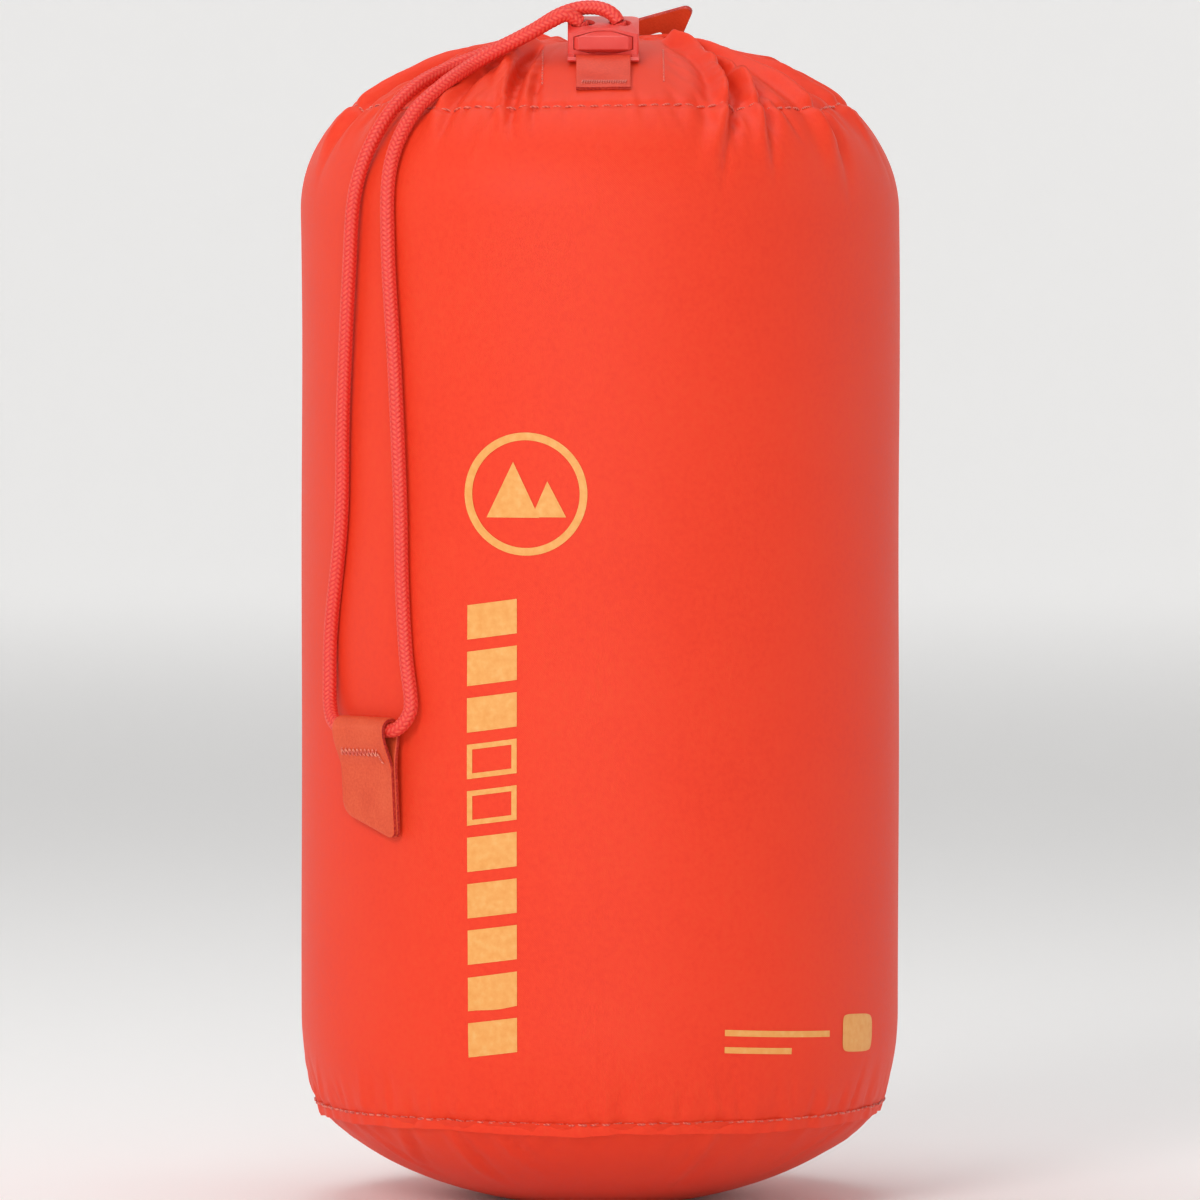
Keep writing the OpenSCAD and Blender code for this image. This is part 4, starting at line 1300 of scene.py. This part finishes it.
# ------------ print on the front
def build_print(cloth, material):
    points, faces = [], []

    def patch(shape, rows, columns):
        """shape(u, v) gives a place on the front in millimetres across and up."""
        start = len(points)
        for u in np.linspace(0, 1, rows):
            for v in np.linspace(0, 1, columns):
                x, z = shape(u, v)
                place, _ = cloth.at(row_of_height(z * MM), math.asin(x * MM / SACK_R), 0.09 * MM)
                points.append(place)
        faces.extend(grid_faces(rows, columns, False, start))

    def bar(x0, x1, z0, z1, slant=0.0):
        patch(lambda u, v: (x0 + (x1 - x0) * v, z0 + (z1 - z0) * u + slant * (v - 0.5)), 5, 7)

    def ring(cx, cz, inner, outer):
        def place(u, v):
            r, a = inner + (outer - inner) * u, 2 * math.pi * v
            return cx + r * math.cos(a), cz + r * math.sin(a)

        patch(place, 3, 97)

    def triangle(*corners):
        a, b, c = np.array(corners)
        patch(lambda u, v: c + (a - c + (b - a) * v) * u, 9, 9)

    # two plain peaks in a ring
    ring(-15.4, 152.5, 11.2, 12.8)
    triangle((-23.6, 147.6), (-12.6, 147.6), (-18.0, 159.2))
    triangle((-14.2, 147.7), (-7.0, 147.7), (-10.9, 155.2))
    # a column of plain slanted bars
    left, right, rim, pitch = -27.6, -17.3, 1.1, 9.7
    for k in range(10):
        z0 = 35.5 + pitch * k
        z1 = z0 + pitch * 0.74
        if k in (5, 6):
            bar(left, right, z0, z0 + rim, 1.5)
            bar(left, right, z1 - rim, z1, 1.5)
            bar(left, left + rim, z0 - 0.7, z1 - 0.7, 0.16)
            bar(right - rim, right, z0 + 0.7, z1 + 0.7, 0.16)
        else:
            bar(left, right, z0, z1, 1.5)
    # two plain rules with a rounded patch beside them
    bar(26, 48, 38.6, 39.9, -1.5)
    bar(26, 40, 35.3, 36.6, -0.9)

    def label(u, v):
        x, z = 2 * v - 1, 2 * u - 1
        soft = 1 - 0.11 * (x * z) ** 4
        return 54.2 + 3.3 * x * soft, 38.0 + 4.0 * z * soft - 0.35 * x

    patch(label, 13, 13)
    settle(make_mesh("front_print", points, faces, material), "sack", "thread")


# ------------ studio
def area_light(name, place, aim, size, power, colour=(1, 1, 1)):
    data = bpy.data.lights.new(name, "AREA")
    data.shape = "DISK"
    data.size = size
    data.energy = power
    data.color = colour
    lamp = bpy.data.objects.new(name, data)
    bpy.context.collection.objects.link(lamp)
    lamp.location = place
    lamp.rotation_euler = (Vector(aim) - lamp.location).to_track_quat("-Z", "Y").to_euler()


FLOOR_R = 3.6
FLOOR_BEND = 1.2
WALL_HEIGHT = 3.6
WALL_GLOW = 0.22
SKY = 0.36


def build_studio():
    """A round pale floor that curves up into a wall, so that every side has the same background."""
    line = [(0.001, 0.0)] + [(r, 0.0) for r in np.linspace(0.6, FLOOR_R, 11)]
    for a in np.linspace(0, math.pi / 2, 11)[1:]:
        line.append((FLOOR_R + FLOOR_BEND * math.sin(a), FLOOR_BEND * (1 - math.cos(a))))
    line.append((FLOOR_R + FLOOR_BEND, WALL_HEIGHT))
    line = np.array(line)
    points = around(line[:, :1], line[:, 1:], full_turn(96))
    rows, columns = points.shape[:2]
    faces = grid_faces(rows, columns, True, flip=True)
    glow = np.repeat(WALL_GLOW * smoothstep(line[:, 0], 1.0, FLOOR_R), columns)
    material = floor_material()
    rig.stage(make_mesh("studio_floor", points.reshape(-1, 3), faces, material, attributes={"glow": glow}))
    middle = (0, 0, 0.13)
    area_light("key", (-0.75, -1.5, 0.95), middle, 0.7, 12, (1.0, 0.97, 0.94))
    area_light("front_fill", (0.15, -1.8, 0.08), (0, 0, 0.06), 0.9, 7.5)
    area_light("left_edge", (-1.3, 0.25, 0.35), middle, 0.9, 1)
    area_light("right_edge", (1.35, 0.35, 0.45), middle, 0.8, 0.8)
    area_light("top", (-0.1, 0.1, 1.3), middle, 0.9, 5)
    world = bpy.data.worlds.new("world")
    bpy.context.scene.world = world
    world.use_nodes = True
    sky = world.node_tree.nodes["Background"]
    sky.inputs["Color"].default_value = (1, 1, 1, 1)
    sky.inputs["Strength"].default_value = SKY
    bpy.context.scene.view_settings.view_transform = "Standard"


# ------------ everything in order
make_camera()

cord_finish = cord_material()
loop, loop_path, loop_length = braided("drawcord_outer_loop", LOOP_ROUTE, cord_finish)
settle(loop, "sack", "braided_cord", "drawcord_loop")
ring_route = [(HEM_CORD_R * math.cos(a), HEM_CORD_R * math.sin(a), HEM_CORD_Z)
              for a in np.radians(range(235, -56, -25))]
hem_route = LEFT_BORE[::-1] + ring_route + RIGHT_BORE
hem_cord = braided("drawcord_inner_ring", hem_route, cord_finish, 0.35 * MM, 24)[0]
settle(hem_cord, "sack", "braided_cord", "drawcord_in_hem")

cloth_stops = [(0.25, "FA3D21"), (0.5, "FF4324"), (0.75, "FF4B28")]
sack_cloth = fabric_material("sack_cloth", cloth_stops)
base_finish = fabric_material("base_fabric", cloth_stops)
gear_cloth = fabric_material("packed_gear", [(0.3, "43474D"), (0.7, "5C6168")], 0.2, 1.2 * MM)
tape = tape_material("trim_tape", [(0.3, "E04A26"), (0.5, "EC5730"), (0.72, "F5663C")])
strap_finish = tape_material("strap_tape", [(0.3, "DE381C"), (0.5, "EA4122"), (0.72, "F64E2E")])
core = tape_material("tape_core", [(0.35, "9A2024"), (0.5, "C4342A"), (0.65, "EC5A42")])
thread = thread_material("thread", [(0.2, "CF3826"), (0.6, "F25A42"), (0.9, "FF7E62")])
tack = thread_material("bartack_thread", [(0.2, "E8503A"), (0.6, "FF7454"), (0.9, "FF9478")])
plastic = plastic_material()

tube, cloth = build_cloth(sack_cloth, loop_path[::6])
settle(tube, "sack", "sack_cloth", "main_panel", "gathered_hem")
base = settle(build_base(base_finish), "sack", "sack_cloth", "base_panel")
gear = settle(build_contents(gear_cloth), "sack", "soft_contents", "packed_fill")
sew_body(cloth, thread)
build_facing(cloth, sack_cloth)
build_buttonholes(cloth, thread)
build_strap(strap_finish, core, thread)
moulded("lock_housing", "lock_shell", "sack", plastic, "lock_plastic", 0.22 * MM)
moulded("lock_plunger", "lock_button", "plunger", plastic, "lock_plastic", 0.2 * MM)
frame["nodes"]["lock_spring"].data.materials.clear()
frame["nodes"]["lock_spring"].data.materials.append(steel_material())
end_tab, end_bartack = build_end_tab(tape, core, tack)
build_pull_tab(cloth, tape, core, thread)
build_print(cloth, print_material())

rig.cord(loop, exit=LOOP_ROUTE[0], length=loop_length, diameter=CORD_D, far_end="object", stiffness="limp",
        lay="hanging", path=loop_path, with_pieces=[end_tab, end_bartack])
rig.sheet(tube, flat=(0.402, 0.290), held="gathered", rests_on=[gear])
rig.sheet(base, flat=(0.138, 0.138), held="stretched", rests_on=[gear], area=math.pi * 0.069**2)
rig.padded(gear, fill=0.95)

build_studio()

low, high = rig.bounds()
with open("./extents.json", "w") as out:
    json.dump({"cad": [list(cad_low), list(cad_high)], "visual": [list(low), list(high)]}, out)
